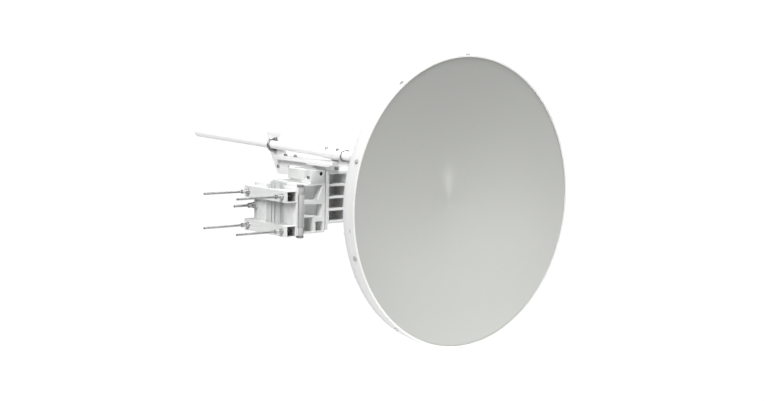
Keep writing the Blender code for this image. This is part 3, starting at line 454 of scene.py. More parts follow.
CASTING = Finish(Slot.CASTING, "painted_casting", (0.76, 0.77, 0.76), (0.705, 0.715, 0.705), 0.42,
                 grain_scale=900.0, grain_cells=0.8, grain_depth=0.00012, tone_amount=0.6)
ZINC = Finish(Slot.ZINC, "zinc_plate", (0.60, 0.60, 0.59), (0.46, 0.46, 0.47), 0.34, metallic=1.0,
              tone_scale=30.0, grain_scale=2500.0, grain_depth=0.00002, tone_amount=0.8)
SPUN = Finish(Slot.SPUN, "spun_aluminium", (0.78, 0.78, 0.79), (0.70, 0.70, 0.72), 0.32, metallic=1.0,
              grain_scale=1400.0, grain_depth=0.00003, ringed=True)
RING = Finish(Slot.RING, "ring_coat", (0.785, 0.785, 0.77), (0.76, 0.76, 0.745), 0.36, grain_depth=0.00003)
RIM = Finish(Slot.RIM, "rim_coat", (0.785, 0.785, 0.80), (0.76, 0.76, 0.775), 0.36, grain_depth=0.00003)
RADOME = Finish(Slot.RADOME, "radome_plastic", (0.445, 0.452, 0.429), (0.431, 0.438, 0.418), 0.45,
                tone_scale=2.5, grain_scale=1100.0, grain_depth=0.00001, coat=0.15, coat_roughness=0.15,
                specular=0.35, dust=0.0)
COAT = Finish(Slot.COAT, "white_powder_coat", grey(0.94), (0.91, 0.91, 0.915), 0.38)
CAP = Finish(Slot.CAP, "cap_plastic", grey(0.72), grey(0.66), 0.50, grain_scale=1500.0)
FINISHES = {finish.slot: finish for finish in (CASTING, ZINC, SPUN, RING, RIM, RADOME, COAT, CAP)}

DARK_ZINC = replace(ZINC, name="dark_zinc", colour=grey(0.36), shade=grey(0.28))
DULL_ZINC = replace(ZINC, name="dull_zinc", colour=(0.27, 0.27, 0.275), shade=(0.21, 0.21, 0.215),
                    metallic=0.3, roughness=0.5)
BRIGHT_ZINC = replace(ZINC, name="bright_zinc", colour=grey(0.52), shade=grey(0.44), metallic=0.3)
PLUG = replace(CAP, name="plug_plastic", colour=(0.56, 0.56, 0.58), shade=(0.52, 0.52, 0.54))


@dataclass(frozen=True)
class Circle:
    """A circle of small pieces round the dish's axis.

    The start is the first one's angle in degrees from +X, and outward is 1 where they point away
    from the axis and 0 where they point along it, to the back.
    """

    count: int
    radius: float
    depth: float
    start: float
    outward: float


class Repeats:
    """The geometry node trees for what repeats or follows a path."""

    def __init__(self) -> None:
        """Builds the trees once."""
        self.circle = self.make_circle()
        self.placed = self.make_placed()
        self.thread = self.make_thread()

    @staticmethod
    def close(sheet: NodeSheet, given: Sockets, result: Node, shape: Socket) -> Tree:
        """Ends a tree: real geometry, with its material.

        Args:
            sheet: The tree's sheet.
            given: The sockets of its inputs.
            result: Its output node.
            shape: What it has made.

        Returns:
            The tree.
        """
        real = sheet.out("GeometryNodeRealizeInstances", {"Geometry": shape})
        painted = sheet.out("GeometryNodeSetMaterial", {"Geometry": real, "Material": given["Material"]})
        sheet.fill(result, {"Geometry": painted})
        return sheet.tree

    @staticmethod
    def copies(sheet: NodeSheet, given: Sockets, points: Socket, stand: Socket) -> Socket:
        """Copies of the given piece on points, each turned to stand there."""
        item = sheet.add("GeometryNodeObjectInfo", {"Object": given["Piece"]}).outputs["Geometry"]
        return sheet.out("GeometryNodeInstanceOnPoints", {"Points": points, "Instance": item,
                                                          "Rotation": stand})

    @classmethod
    def make_circle(cls) -> Tree:
        """Pieces on a circle round the dish's axis.

        Returns:
            The tree.
        """
        sheet, given, result = new_group("pieces_on_a_circle", GEOMETRY, {
            "Piece": "Object", "Material": "Material", "Count": 10, "Radius": 0.6, "Start": 0.0,
            "Outward": 1.0, "Centre": (0.0, 0.0, 0.0)}, {"Geometry": "Geometry"})
        ring = sheet.out("GeometryNodeMeshCircle", {"Vertices": given["Count"], "Radius": given["Radius"]})
        spin = sheet.out("ShaderNodeCombineXYZ", {"Z": given["Start"]})
        points = sheet.out("GeometryNodeTransform", {"Geometry": ring, "Rotation": spin})
        away = sheet.out("ShaderNodeVectorMath", {0: sheet.out("GeometryNodeInputPosition")},
                         operation="NORMALIZE")
        facing = sheet.add("ShaderNodeMix", {0: given["Outward"], 4: (0.0, 0.0, -1.0), 5: away},
                           data_type="VECTOR").outputs[1]
        stand = sheet.out("FunctionNodeAlignRotationToVector", {"Vector": facing}, axis="Z")
        upright = sheet.out("GeometryNodeTransform", {
            "Geometry": cls.copies(sheet, given, points, stand), "Translation": given["Centre"],
            "Rotation": (pi / 2.0, 0.0, 0.0)})
        return cls.close(sheet, given, result, upright)

    @classmethod
    def make_placed(cls) -> Tree:
        """A piece on each point of a carrier, along the point's own direction and with its own turn.

        Returns:
            The tree.
        """
        sheet, given, result = new_group("pieces_on_places", GEOMETRY, {
            "Places": "Geometry", "Piece": "Object", "Material": "Material"}, {"Geometry": "Geometry"})
        points = sheet.out("GeometryNodeMeshToPoints", {"Mesh": given["Places"]})
        facing = sheet.out("GeometryNodeInputNamedAttribute", {"Name": "facing"}, data_type="FLOAT_VECTOR")
        turn = sheet.out("GeometryNodeInputNamedAttribute", {"Name": "turn"}, data_type="FLOAT")
        spin = sheet.out("FunctionNodeAxisAngleToRotation", {"Axis": (0.0, 0.0, 1.0), "Angle": turn})
        stand = sheet.out("FunctionNodeAlignRotationToVector", {"Rotation": spin, "Vector": facing}, axis="Z")
        return cls.close(sheet, given, result, cls.copies(sheet, given, points, stand))

    @classmethod
    def make_thread(cls) -> Tree:
        """A core with a three-cornered ridge that winds up it.

        Returns:
            The tree.
        """
        sheet, given, result = new_group("screw_thread", GEOMETRY, {
            "Radius": 0.005, "Pitch": 0.0015, "Length": 0.1, "Root": 0.61, "Material": "Material"},
            {"Geometry": "Geometry"})
        radius, pitch, length = (given[name] for name in ("Radius", "Pitch", "Length"))
        corner = sheet.product(pitch, 0.5)
        middle = sheet.maths("SUBTRACT", radius, corner)
        climb = sheet.maths("SUBTRACT", length, pitch)
        path = sheet.out("GeometryNodeCurveSpiral", {
            "Resolution": 16, "Rotations": sheet.maths("DIVIDE", climb, pitch), "Start Radius": middle,
            "End Radius": middle, "Height": climb, "Reverse": True})
        level = sheet.out("GeometryNodeSetCurveNormal", {"Curve": path}, mode="Z_UP")
        section = sheet.out("GeometryNodeCurvePrimitiveCircle", {"Resolution": 3, "Radius": corner})
        outward = sheet.out("GeometryNodeTransform", {"Geometry": section, "Rotation": (0.0, 0.0, pi)})
        ridge = sheet.out("GeometryNodeCurveToMesh", {"Curve": level, "Profile Curve": outward,
                                                      "Fill Caps": True})
        root = sheet.maths("SUBTRACT", radius, sheet.product(pitch, given["Root"]))
        core = sheet.out("GeometryNodeMeshCylinder", {"Vertices": 24, "Radius": root, "Depth": length})
        both = sheet.add("GeometryNodeJoinGeometry")
        for shape, lift in ((core, sheet.product(length, 0.5)), (ridge, corner)):
            raised = sheet.out("GeometryNodeTransform", {
                "Geometry": shape, "Translation": sheet.out("ShaderNodeCombineXYZ", {"Z": lift})})
            sheet.fill(both, {0: raised})
        return cls.close(sheet, given, result, both.outputs[0])


def around(steps: int) -> list[float]:
    """Even steps of a full turn."""
    return [2.0 * pi * step / steps for step in range(steps)]


def skinned(shape: Shape, rings: list[list[bmesh.types.BMVert]], closed: bool, capped: bool = False) -> Shape:
    """Joins rings of a shape's points by faces.

    Args:
        shape: The shape.
        rings: The rings in order; a ring of one repeated point is a tip.
        closed: Whether the last ring joins the first.
        capped: Whether the first and last rings are filled.

    Returns:
        The shape.
    """
    for first, second in zip(rings, rings[1:] + rings[:int(closed)]):
        for corners in zip(first, first[1:] + first[:1], second[1:] + second[:1], second):
            corners = list(dict.fromkeys(corners))
            if len(corners) > 2:
                shape.faces.new(corners)
    if capped:
        for end in (0, -1):
            shape.faces.new(rings[end])
    bmesh.ops.recalc_face_normals(shape, faces=shape.faces)
    return shape


def turned(profile: Profile, steps: int, closed: bool) -> Shape:
    """A profile turned about the Z axis.

    Args:
        profile: Points of (radius, height).
        steps: Faces round the axis.
        closed: Whether the last point joins the first.

    Returns:
        The shape.
    """
    shape = bmesh.new()
    rings = []
    for radius, height in profile:
        if radius < MERGE:
            rings.append([shape.verts.new((0.0, 0.0, height))] * steps)
        else:
            rings.append([shape.verts.new((radius * cos(a), radius * sin(a), height)) for a in around(steps)])
    return skinned(shape, rings, closed)


def hexagon(flats: float, height: float, bore: float = 0.0) -> Shape:
    """A hexagonal nut or bolt head on the XY plane, chamfered at both ends.

    Args:
        flats: Width across the flats.
        height: Its height along Z.
        bore: Radius of the hole, or nothing for a solid head.

    Returns:
        The shape.
    """
    apothem = flats / 2.0
    land = apothem * CHAMFER_LAND
    slope = tan(radians(CHAMFER_ANGLE))
    shape = bmesh.new()
    columns = []
    for angle in around(HEXAGON_STEPS):
        reach = apothem / cos((angle + pi / 6.0) % (pi / 3.0) - pi / 6.0)
        drop = (reach - land) * slope
        line = [(land, height), (reach, height - drop), (reach, drop), (land, 0.0)]
        if bore > 0.0:
            line = [(bore, height), *line, (bore, 0.0)]
        columns.append([shape.verts.new((radius * cos(angle), radius * sin(angle), level))
                        for radius, level in line])
    return skinned(shape, [list(ring) for ring in zip(*columns)], bore > 0.0, bore <= 0.0)


def flats_of(corner: float) -> float:
    """A hexagon's width across the flats, from the radius of its corners."""
    return 2.0 * corner * cos(radians(30.0))


def pipe(bore: float, radius: float, length: float, edge: float) -> Profile:
    """The profile of a round pipe or washer, with its outer edges broken."""
    return [(bore, 0.0), (radius - edge, 0.0), (radius, edge), (radius, length - edge),
            (radius - edge, length), (bore, length)]


def washer(bore: float, radius: float, thickness: float) -> Shape:
    """A flat washer on the XY plane."""
    return turned(pipe(bore, radius, thickness, thickness * 0.2), HARDWARE_STEPS, True)


def hex_bolt(radius: float, washer_radius: float, tail: float = 0.0) -> Shape:
    """A bolt head on its washer, standing on the XY plane, or a nut where the bolt's tail shows.

    Args:
        radius: The bolt's radius, which also sets the head and the washer's thickness.
        washer_radius: The washer's radius.
        tail: How far the bolt stands out of its nut.

    Returns:
        The shape.
    """
    thick, height = BOLT_WASHER * radius, BOLT_HEIGHT * radius
    shapes = [(washer(radius * 0.5, washer_radius, thick), UNMOVED),
              (hexagon(BOLT_FLATS * radius, height), Matrix.Translation((0.0, 0.0, thick)))]
    if tail > 0.0:
        end = thick + height + tail
        stud = [(0.0, thick), (radius, thick), (radius, end - 0.2 * radius), (0.8 * radius, end), (0.0, end)]
        shapes.append((turned(stud, 24, False), UNMOVED))
    return joined(shapes)


def block(x: Pair, y: Pair, z: Pair) -> Shape:
    """A box of the dish's frame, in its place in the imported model.

    Args:
        x: Its two limits along X.
        y: Its limits along Y.
        z: Its limits along Z.

    Returns:
        The shape.
    """
    low, high = (DISH_CENTRE + Vector(corner) for corner in zip(x, y, z))
    shape = bmesh.new()
    bmesh.ops.create_cube(shape, size=1.0, matrix=Matrix.Translation((low + high) / 2.0)
                          @ Matrix.Diagonal((*(high - low), 1.0)))
    return shape


def swept(path: list[Vector], radius: float, sides: int) -> Shape:
    """A round bar along a path that lies in a plane of constant Y, with closed ends.

    Args:
        path: The points of its middle line.
        radius: The bar's radius.
        sides: Faces round it.

    Returns:
        The shape.
    """
    shape = bmesh.new()
    side = Vector((0.0, 1.0, 0.0))
    rings = []
    for before, place, after in zip(path[:1] + path[:-1], path, path[1:] + path[-1:]):
        normal = (after - before).normalized().cross(side)
        rings.append([shape.verts.new(place + radius * (cos(a) * normal + sin(a) * side))
                      for a in around(sides)])
    return skinned(shape, rings, False, True)


def joined(shapes: list[Placed]) -> Shape:
    """Joins shapes, each moved to its place, into one.

    Args:
        shapes: The shapes; they are used up.

    Returns:
        The whole.
    """
    whole = bmesh.new()
    for shape, matrix in shapes:
        bmesh.ops.transform(shape, matrix=matrix, verts=shape.verts)
        part = bpy.data.meshes.new("part")
        shape.to_mesh(part)
        shape.free()
        whole.from_mesh(part)
        bpy.data.meshes.remove(part)
    return whole


def finished(name: str, shapes: list[Placed], sharp: float = SHARP_ANGLE) -> Mesh:
    """Joins shapes, each moved to its place, into one mesh.

    Args:
        name: The mesh's name.
        shapes: The shapes; they are used up.
        sharp: Edges over this angle, in degrees, stay sharp.

    Returns:
        The mesh.
    """
    whole = joined(shapes)
    mesh = bpy.data.meshes.new(name)
    whole.to_mesh(mesh)
    whole.free()
    mesh.shade_smooth()
    mesh.set_sharp_from_angle(angle=radians(sharp))
    return mesh


def on_axis(direction: Vector, place: Vector | Point, spin: float = 0.0) -> Matrix:
    """The matrix that stands a shape made along Z on a place of the dish's frame, along a direction."""
    turn = UP.rotation_difference(direction).to_matrix().to_4x4()
    return Matrix.Translation(DISH_CENTRE + Vector(place)) @ turn @ Matrix.Rotation(spin, 4, "Z")


def lathe(profile: Profile, steps: int = DISH_STEPS, closed: bool = True) -> Placed:
    """A profile of (radius, depth) turned about the dish's axis, with its matrix."""
    shape = turned([(radius, -depth) for radius, depth in profile], steps, closed)
    return shape, on_axis(OUT_FRONT, (0.0, 0.0, 0.0))


def linked(name: str, data: bpy.types.ID) -> bpy.types.Object:
    """A new object in the scene.

    Args:
        name: Its name.
        data: Its mesh, light or camera.

    Returns:
        The object.
    """
    made = bpy.data.objects.new(name, data)
    bpy.context.scene.collection.objects.link(made)
    return made


def evaluated(item: bpy.types.Object) -> Mesh:
    """A plain mesh of what an object's modifiers make."""
    bpy.context.view_layer.update()
    return bpy.data.meshes.new_from_object(item.evaluated_get(bpy.context.evaluated_depsgraph_get()))


class Workshop:
    """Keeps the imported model, the shared trees and the materials."""

    def __init__(self) -> None:
        """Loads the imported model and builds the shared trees."""
        self.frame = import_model()
        self.cad_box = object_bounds()
        self.repeats = Repeats()
        self.effects = SurfaceEffects()
        self.materials: dict[Finish, bpy.types.Material] = {}

    def material(self, finish: Finish) -> bpy.types.Material:
        """A finish's material, built when it is first asked for.

        Args:
            finish: The finish.

        Returns:
            The material.
        """
        if finish not in self.materials:
            self.materials[finish] = finish.material(self.effects)
        return self.materials[finish]

    def dress_nodes(self) -> None:
        """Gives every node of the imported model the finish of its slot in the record."""
        for row in self.frame["record"]["subparts"]:
            node = self.frame["nodes"][row["node"]]
            node.data.materials.clear()
            node.data.materials.append(self.material(FINISHES[Slot(row["material_slot"])]))

    def realised(self, tree: Tree, inputs: dict[str, object], carrier: Mesh | None = None) -> Mesh:
        """Runs a geometry node tree once and keeps its result as a plain mesh.

        Args:
            tree: The tree.
            inputs: Its inputs by name.
            carrier: The mesh it starts from, if it needs one.

        Returns:
            The mesh.
        """
        guide = linked("guide", carrier or bpy.data.meshes.new("guide"))
        modifier = guide.modifiers.new("nodes", "NODES")
        modifier.node_group = tree
        names = {item.name: item.identifier for item in tree.interface.items_tree if item.in_out == "INPUT"}
        for key, value in inputs.items():
            modifier[names[key]] = value
        mesh = evaluated(guide)
        guide.modifiers.remove(modifier)
        bpy.data.objects.remove(guide, do_unlink=True)
        return mesh

    def thread(self, radius: float, pitch: float, length: float) -> Shape:
        """A threaded bar that stands on the XY plane, for joining into a piece.

        Args:
            radius: Its radius over the thread.
            pitch: The thread's pitch.
            length: The bar's length.

        Returns:
            The shape.
        """
        mesh = self.realised(self.repeats.thread, {"Radius": radius, "Pitch": pitch, "Length": length,
                                                   "Material": self.material(ZINC)})
        shape = bmesh.new()
        shape.from_mesh(mesh)
        bpy.data.meshes.remove(mesh)
        return shape


@dataclass
class Assembly:
    """A sub-assembly, with what turns shapes into pieces that ride on its body."""

    shop: Workshop
    body: Body

    def piece(self, name: str, content: Mesh | list[Placed], finish: Finish, *replaced: str,
              sharp: float = SHARP_ANGLE) -> None:
        """Makes a piece of the antenna.

        Args:
            name: The piece's name.
            content: Its mesh or its shapes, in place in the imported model's frame.
            finish: The finish.
            *replaced: The nodes that it stands for.
            sharp: Edges over this angle, in degrees, stay sharp where it comes as shapes.
        """
        mesh = finished(name, content, sharp) if isinstance(content, list) else content
        body, slot = self.body, finish.slot
        made = linked(name, mesh)
        mesh.materials.clear()
        mesh.materials.append(self.shop.material(finish))
        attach(made, body.value)
        if replaced:
            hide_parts(*replaced)
        LOG.info("%s: %d faces, rides on %s", name, len(mesh.polygons), body.value)

    def softened(self, node: str, finish: Finish, width: float, cutters: tuple[Shape, ...] = ()) -> None:
        """Stands for a node with a copy whose edges are rounded.

        Args:
            node: The node's name.
            finish: The finish.
            width: How wide the rounding is.
            cutters: Shapes that are taken out of it first; they are used up.
        """
        shape = bmesh.new()
        shape.from_mesh(self.shop.frame["nodes"][node].data)
        bmesh.ops.remove_doubles(shape, verts=shape.verts, dist=MERGE)
        bmesh.ops.dissolve_limit(shape, angle_limit=radians(FLAT_ANGLE), verts=shape.verts, edges=shape.edges)
        copy = bpy.data.meshes.new(node + "_copy")
        shape.to_mesh(copy)
        shape.free()
        copy.shade_smooth()
        guide = linked(node + "_guide", copy)
        name = node + "_cutter"
        tools = [linked(name, finished(name, [(cutter, UNMOVED)])) for cutter in cutters]
        for tool in tools:
            guide.modifiers.new("cut", "BOOLEAN").object = tool
        bevel = guide.modifiers.new("soft edges", "BEVEL")
        bevel.width = width
        bevel.segments = 2
        bevel.limit_method = "ANGLE"
        bevel.angle_limit = radians(BEVEL_ANGLE)
        bevel.harden_normals = True
        bevel.use_clamp_overlap = True
        mesh = evaluated(guide)
        for item in (guide, *tools):
            bpy.data.objects.remove(item, do_unlink=True)
        bpy.data.meshes.remove(copy)
        mesh.name = node + "_soft"
        self.piece(node + "_soft", mesh, finish, node)

    def repeated(self, name: str, source: Shape, finish: Finish, tree: Tree, inputs: dict[str, object],
                 carrier: Mesh | None = None) -> None:
        """Sets a small piece out with a geometry node tree, as one piece of the scene.

        Args:
            name: The piece's name.
            source: The small piece, standing on the XY plane.
            finish: The finish.
            tree: The tree.
            inputs: The tree's own inputs.
            carrier: The mesh it starts from, if it needs one.
        """
        item = linked(name + "_item", finished(name + "_item", [(source, UNMOVED)]))
        given = {"Piece": item, "Material": self.shop.material(finish), **inputs}
        mesh = self.shop.realised(tree, given, carrier)
        bpy.data.objects.remove(item, do_unlink=True)
        self.piece(name, mesh, finish)

    def ring_of(self, name: str, source: Shape, finish: Finish, circle: Circle) -> None:
        """Sets a small piece out on a circle round the dish's axis."""
        self.repeated(name, source, finish, self.shop.repeats.circle, {
            "Count": circle.count, "Radius": circle.radius, "Start": radians(circle.start),
            "Outward": circle.outward, "Centre": DISH_CENTRE + Vector((0.0, circle.depth, 0.0))})

    def set_out(self, name: str, source: Shape, places: list[tuple[Vector | Point, Vector, float]]) -> None:
        """Sets a small zinc-plated piece out on places of the dish's frame.

        Args:
            name: The piece's name.
            source: The small piece, standing on the XY plane.
            places: Where each stands, the way it points and its turn in degrees.
        """
        carrier = bpy.data.meshes.new(name + "_places")
        carrier.from_pydata([DISH_CENTRE + Vector(place) for place, _, _ in places], [], [])
        carrier.attributes.new("facing", "FLOAT_VECTOR", "POINT")
        carrier.attributes.new("turn", "FLOAT", "POINT")
        facing, turn = carrier.attributes["facing"], carrier.attributes["turn"]
        for index, (_, direction, degrees) in enumerate(places):
            facing.data[index].vector = direction
            turn.data[index].value = radians(degrees)
        self.repeated(name, source, ZINC, self.shop.repeats.placed, {}, carrier)


@dataclass
class Studio:
    """The floor, the lights and the camera.

    A softbox has a name, an angle round from the dish's front towards the pole, an angle above level
    and a power in watts. A near light has a name, a place from the dish's middle, a size, a power
    and a spread in degrees. One is below the dish, and the other's reflection is the bright streak.
    """

    floor_drop: float = 3.4
    floor_size: float = 60.0
    floor_tone: float = 0.80
    floor_roughness: float = 0.9
    backdrop: float = 1.05
    fill: float = 0.014
    mirrored: float = 0.30
    light_distance: float = 9.0
    light_size: float = 4.0
    softboxes: tuple[tuple[str, float, float, float], ...] = (
        ("top", -40.0, 72.0, 933.0), ("top_left", 30.0, 72.0, 202.0),
        ("side", 80.0, 30.0, 628.0), ("front", 60.0, 50.0, 129.0))
    near_lights: tuple[tuple[str, Point, float, float, float], ...] = (
        ("low", (0.0, -1.2, -1.5), 1.6, 30.4, 180.0),
        ("streak", (0.859, -0.624, -0.329), 0.12, 0.093, 50.0))
    camera_place: Point = (-2.93865, -4.17548, 0.58871)
    camera_azimuth: float = 40.0433
    camera_fall: float = 6.0646
    camera_roll: float = 1.0639
    lens: float = 57.234
    sensor: float = 36.0

    def build(self) -> None:
        """Makes everything round the antenna."""
        self.make_floor()
        self.make_world()
        self.make_lights()
        self.make_camera()

    def make_floor(self) -> None:
        """A plain pale floor, far enough below to take no hard shadow."""
        shape = bmesh.new()
        bmesh.ops.create_grid(shape, x_segments=1, y_segments=1, size=self.floor_size)
        mesh = finished("floor", [(shape, Matrix.Translation((0.0, 0.0, -self.floor_drop)))])
        floor = linked("floor", mesh)
        paint = bpy.data.materials.new("floor_paint")
        paint.use_nodes = True
        sheet = NodeSheet(paint.node_tree)
        shader = paint.node_tree.nodes["Principled BSDF"]
        sheet.fill(shader, {"Base Color": (*grey(self.floor_tone), 1.0), "Roughness": self.floor_roughness})
        glow = sheet.out("ShaderNodeEmission", {"Color": (*grey(1.0), 1.0), "Strength": self.backdrop})
        seen = sheet.add("ShaderNodeLightPath").outputs["Is Camera Ray"]
        mixed = sheet.out("ShaderNodeMixShader", {0: seen, 1: shader.outputs[0], 2: glow})
        sheet.fill(paint.node_tree.nodes["Material Output"], {"Surface": mixed})
        mesh.materials.append(paint)
        floor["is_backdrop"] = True

    def make_world(self) -> None:
        """White all round for the camera, grey in reflections and much dimmer as a light."""
        world = bpy.data.worlds.new("studio")
        bpy.context.scene.world = world
        world.use_nodes = True
        sheet = NodeSheet(world.node_tree)
        path = sheet.add("ShaderNodeLightPath").outputs
        seen = sheet.ramp(path["Is Camera Ray"], 0.0, 1.0, self.fill, self.backdrop)
        level = sheet.maths("MAXIMUM", seen, sheet.product(path["Is Glossy Ray"], self.mirrored))
        sheet.fill(world.node_tree.nodes["Background"], {"Color": (*grey(1.0), 1.0), "Strength": level})

    def make_lights(self) -> None:
        """The large softboxes far off and the two near lights."""
        for name, round_angle, level_angle, power in self.softboxes:
            turn, up = radians(round_angle), radians(level_angle)
            way = Vector((-sin(turn) * cos(up), -cos(turn) * cos(up), sin(up)))
            self.lamp(name, self.light_distance * way, self.light_size, power)
        for name, offset, size, power, spread in self.near_lights:
            near = self.lamp(name, Vector(offset), size, power)
            near.visible_camera = False
            near.data.spread = radians(spread)

    @staticmethod
    def lamp(name: str, offset: Vector, size: float, power: float) -> bpy.types.Object:
        """An area light that looks at the dish's middle.

        Args:
            name: The light's name.
            offset: Its place from the dish's middle.
            size: The side of its square.
            power: Its power in watts.

        Returns:
            The light's object.
        """
        light = bpy.data.lights.new(name, "AREA")
        light.shape = "SQUARE"
        light.size = size
        light.energy = power
        holder = linked(name, light)
        holder.location = DISH_CENTRE + offset
        holder.rotation_euler = (-offset).to_track_quat("-Z", "Y").to_euler()
        return holder

    def make_camera(self) -> None:
        """The camera at the photograph's viewing angle, for a picture of 764 by 401 pixels."""
        camera = bpy.data.cameras.new("camera")
        camera.lens = self.lens
        camera.sensor_width = self.sensor
        holder = linked("camera", camera)
        turn = (Matrix.Rotation(radians(-self.camera_azimuth), 4, "Z")
                @ Matrix.Rotation(radians(90.0 - self.camera_fall), 4, "X")
                @ Matrix.Rotation(radians(self.camera_roll), 4, "Z"))
        holder.matrix_world = Matrix.Translation(self.camera_place) @ turn
        bpy.context.scene.camera = holder
        bpy.context.scene.view_settings.view_transform = "Standard"


@dataclass
class Dish(Assembly):
    """The rim's two rings, the radome, the reflector and the hub."""

    body: Body = Body.ANTENNA
    radius: float = 0.603
    wall: float = 0.003
    gap: float = 0.0003
    nick: float = 0.0006
    ring_depth: float = 0.0393
    ring_edge: float = 0.0012
    ring_lip: float = 0.0018
    lip_edge: float = 0.0004
    lip_reach: float = 0.5955
    rim_depth: float = 0.067
    rim_edge: float = 0.002
    lip_radius: float = 0.587
    skirt_depth: float = 0.034
    bend: float = 0.005
    dip: float = 0.112
    edge_depth: float = 0.003
    tip: float = 0.006
    tip_flat: float = 0.3
    face_radii: tuple[float, ...] = (0.0065, 0.008, 0.012, 0.02, 0.04, 0.08, 0.15, 0.25, 0.35, 0.45, 0.55,
                                     0.585, 0.592, 0.594)
    focal_length: float = 0.250
    reflector_edge: float = 0.580
    reflector_hole: float = 0.050
    reflector_steps: int = 28
    bend_gap: float = 0.0002
    flange_radius: float = 0.596
    screw_count: int = 10
    screw_depth: float = 0.020
    screw_radius: float = 0.0036
    screw_washer: float = 0.0105
    nut_inset: float = 0.0063
    plug_angle: float = 187.4
    plug_depth: float = 0.0235
    plug_stretch: float = 1.7
    plug: tuple[Pair, ...] = ((0.0, 0.0), (0.0048, 0.0), (0.0048, 0.0006), (0.0040, 0.0012), (0.0, 0.0014))
    hub_radii: Pair = (0.060, 0.125)
    hub_back: float = 0.4497
    hub_seat: float = 0.00378
    hub_edge: float = 0.001
    hub_steps: int = 8

    @property
    def skirt(self) -> float:
        """The outer radius of the radome's skirt and of the rim behind it."""
        return self.radius - self.wall - self.gap

    def build(self) -> None:
        """Makes the dish's pieces."""
        self.make_rings()
        self.make_radome()
        self.make_reflector()
        self.make_hub()
        self.make_screws()
        self.make_plug()

    def make_rings(self) -> None:
        """The ring that holds the radome, and the rim behind it."""
        inner, outer, lip, nick = self.radius - self.wall, self.radius, self.lip_reach, self.nick
        edge, small, plate, back = self.ring_edge, self.lip_edge, self.ring_lip, self.ring_depth
        ring = [(inner, plate), (lip + small, plate), (lip, plate - small), (lip, small), (lip + small, 0.0),
                (outer - edge, 0.0), (outer - edge * 0.4, edge * 0.25), (outer, edge),
                (outer, back - nick), (outer - nick, back), (inner, back)]
        self.piece("radome_ring_fine", [lathe(ring)], RING, "radome_ring")
        inner, outer, lip, edge = self.skirt - self.wall, self.skirt, self.lip_radius, self.rim_edge
        front, back = self.skirt_depth + self.gap, self.rim_depth
        rim = [(inner, front), (outer, front), (outer, back - edge), (outer - nick, back - nick),
               (outer - edge, back), (lip, back), (lip, back - self.wall), (inner, back - self.wall)]
        self.piece("rim_ring_fine", [lathe(rim)], RIM, "rim_ring")

    def make_radome(self) -> None:
        """The shallow cone in front, with its rounded tip and its skirt inside the ring."""
        skirt, wall = self.skirt, self.wall
        edge, inner = skirt - self.bend, skirt - wall
        slope = (self.dip - self.edge_depth) / edge
        drop, flat = self.tip * slope, self.tip_flat
        face = [(0.0, self.dip - flat * drop)]
        face += [(self.tip * share, self.dip - drop * (flat + (1.0 - flat) * share ** 2))
                 for share in (0.25, 0.5, 0.75, 1.0)]
        face += [(radius, self.dip - radius * slope) for radius in self.face_radii]
        face += [(edge + self.bend * sin(angle), self.edge_depth + self.bend * (1.0 - cos(angle)))
                 for angle in map(radians, range(0, 91, 10))]
        back = [(skirt, self.skirt_depth), (inner, self.skirt_depth), (inner, self.edge_depth + self.bend),
                (edge, self.edge_depth + wall), (self.tip, self.dip - 0.8 * drop + wall),
                (0.0, self.dip + wall * 0.95)]
        self.piece("radome_fine", [lathe(face + back, closed=False)], RADOME, "radome", sharp=60.0)

    def reflector_depth(self, radius: float) -> float:
        """Depth of the reflector's inner surface."""
        edge = self.rim_depth - self.wall - self.gap - self.wall
        return edge + (self.reflector_edge ** 2 - radius ** 2) / (4.0 * self.focal_length)

    def make_reflector(self) -> None:
        """The spun bowl, with its flat flange inside the rim."""
        rim, flange, wall = self.reflector_edge, self.flange_radius, self.wall
        step = (rim - self.reflector_hole) / self.reflector_steps
        radii = [self.reflector_hole + step * index for index in range(self.reflector_steps + 1)]
        front = [(radius, self.reflector_depth(radius)) for radius in radii]
        level = self.reflector_depth(rim)
        edge = [(flange, level), (flange, level + wall), (rim + wall * 0.9, level + wall)]
        back = []
        for radius, depth in front:
            lean = radius / (2.0 * self.focal_length)
            length = hypot(1.0, lean)
            outward, behind = radius + wall * lean / length, depth + wall / length
            if outward < rim and behind > level + wall + self.bend_gap:
                back.append((outward, behind))
        self.piece("reflector_fine", [lathe(front + edge + back[::-1])], SPUN, "reflector", sharp=40.0)

    def make_hub(self) -> None:
        """The ring between the reflector and the support arm."""
        (inner, outer), back, edge = self.hub_radii, self.hub_back, self.hub_edge
        steps = [inner + (outer - inner) * share / self.hub_steps for share in range(self.hub_steps + 1)]
        ring = [(radius, self.reflector_depth(radius) + self.hub_seat) for radius in steps]
        ring += [(outer, back - edge), (outer - edge, back), (inner + edge, back), (inner, back - edge)]
        self.piece("hub_ring_fine", [lathe(ring)], CASTING, "hub_ring")

    def make_screws(self) -> None:
        """The screws round the ring, and the nuts on the rim's back that hold the reflector."""
        self.ring_of("ring_screws", hex_bolt(self.screw_radius, self.screw_washer), BRIGHT_ZINC,
                     Circle(self.screw_count, self.radius, self.screw_depth, 18.0, 1.0))
        nuts = Circle(2 * self.screw_count, self.lip_radius + self.nut_inset, self.rim_depth, 9.0, 0.0)
        self.ring_of("rim_nuts", hex_bolt(0.003, 0.006, 0.002), RIM, nuts)

    def make_plug(self) -> None:
        """The oval plug in the ring's pole side."""
        angle = radians(self.plug_angle)
        away = Vector((cos(angle), 0.0, sin(angle)))
        place = on_axis(away, self.radius * away + Vector((0.0, self.plug_depth, 0.0)))
        oval = place @ Matrix.Diagonal((self.plug_stretch, 1.0, 1.0, 1.0))
        self.piece("ring_plug", [(turned(self.plug, HARDWARE_STEPS, False), oval)], PLUG)


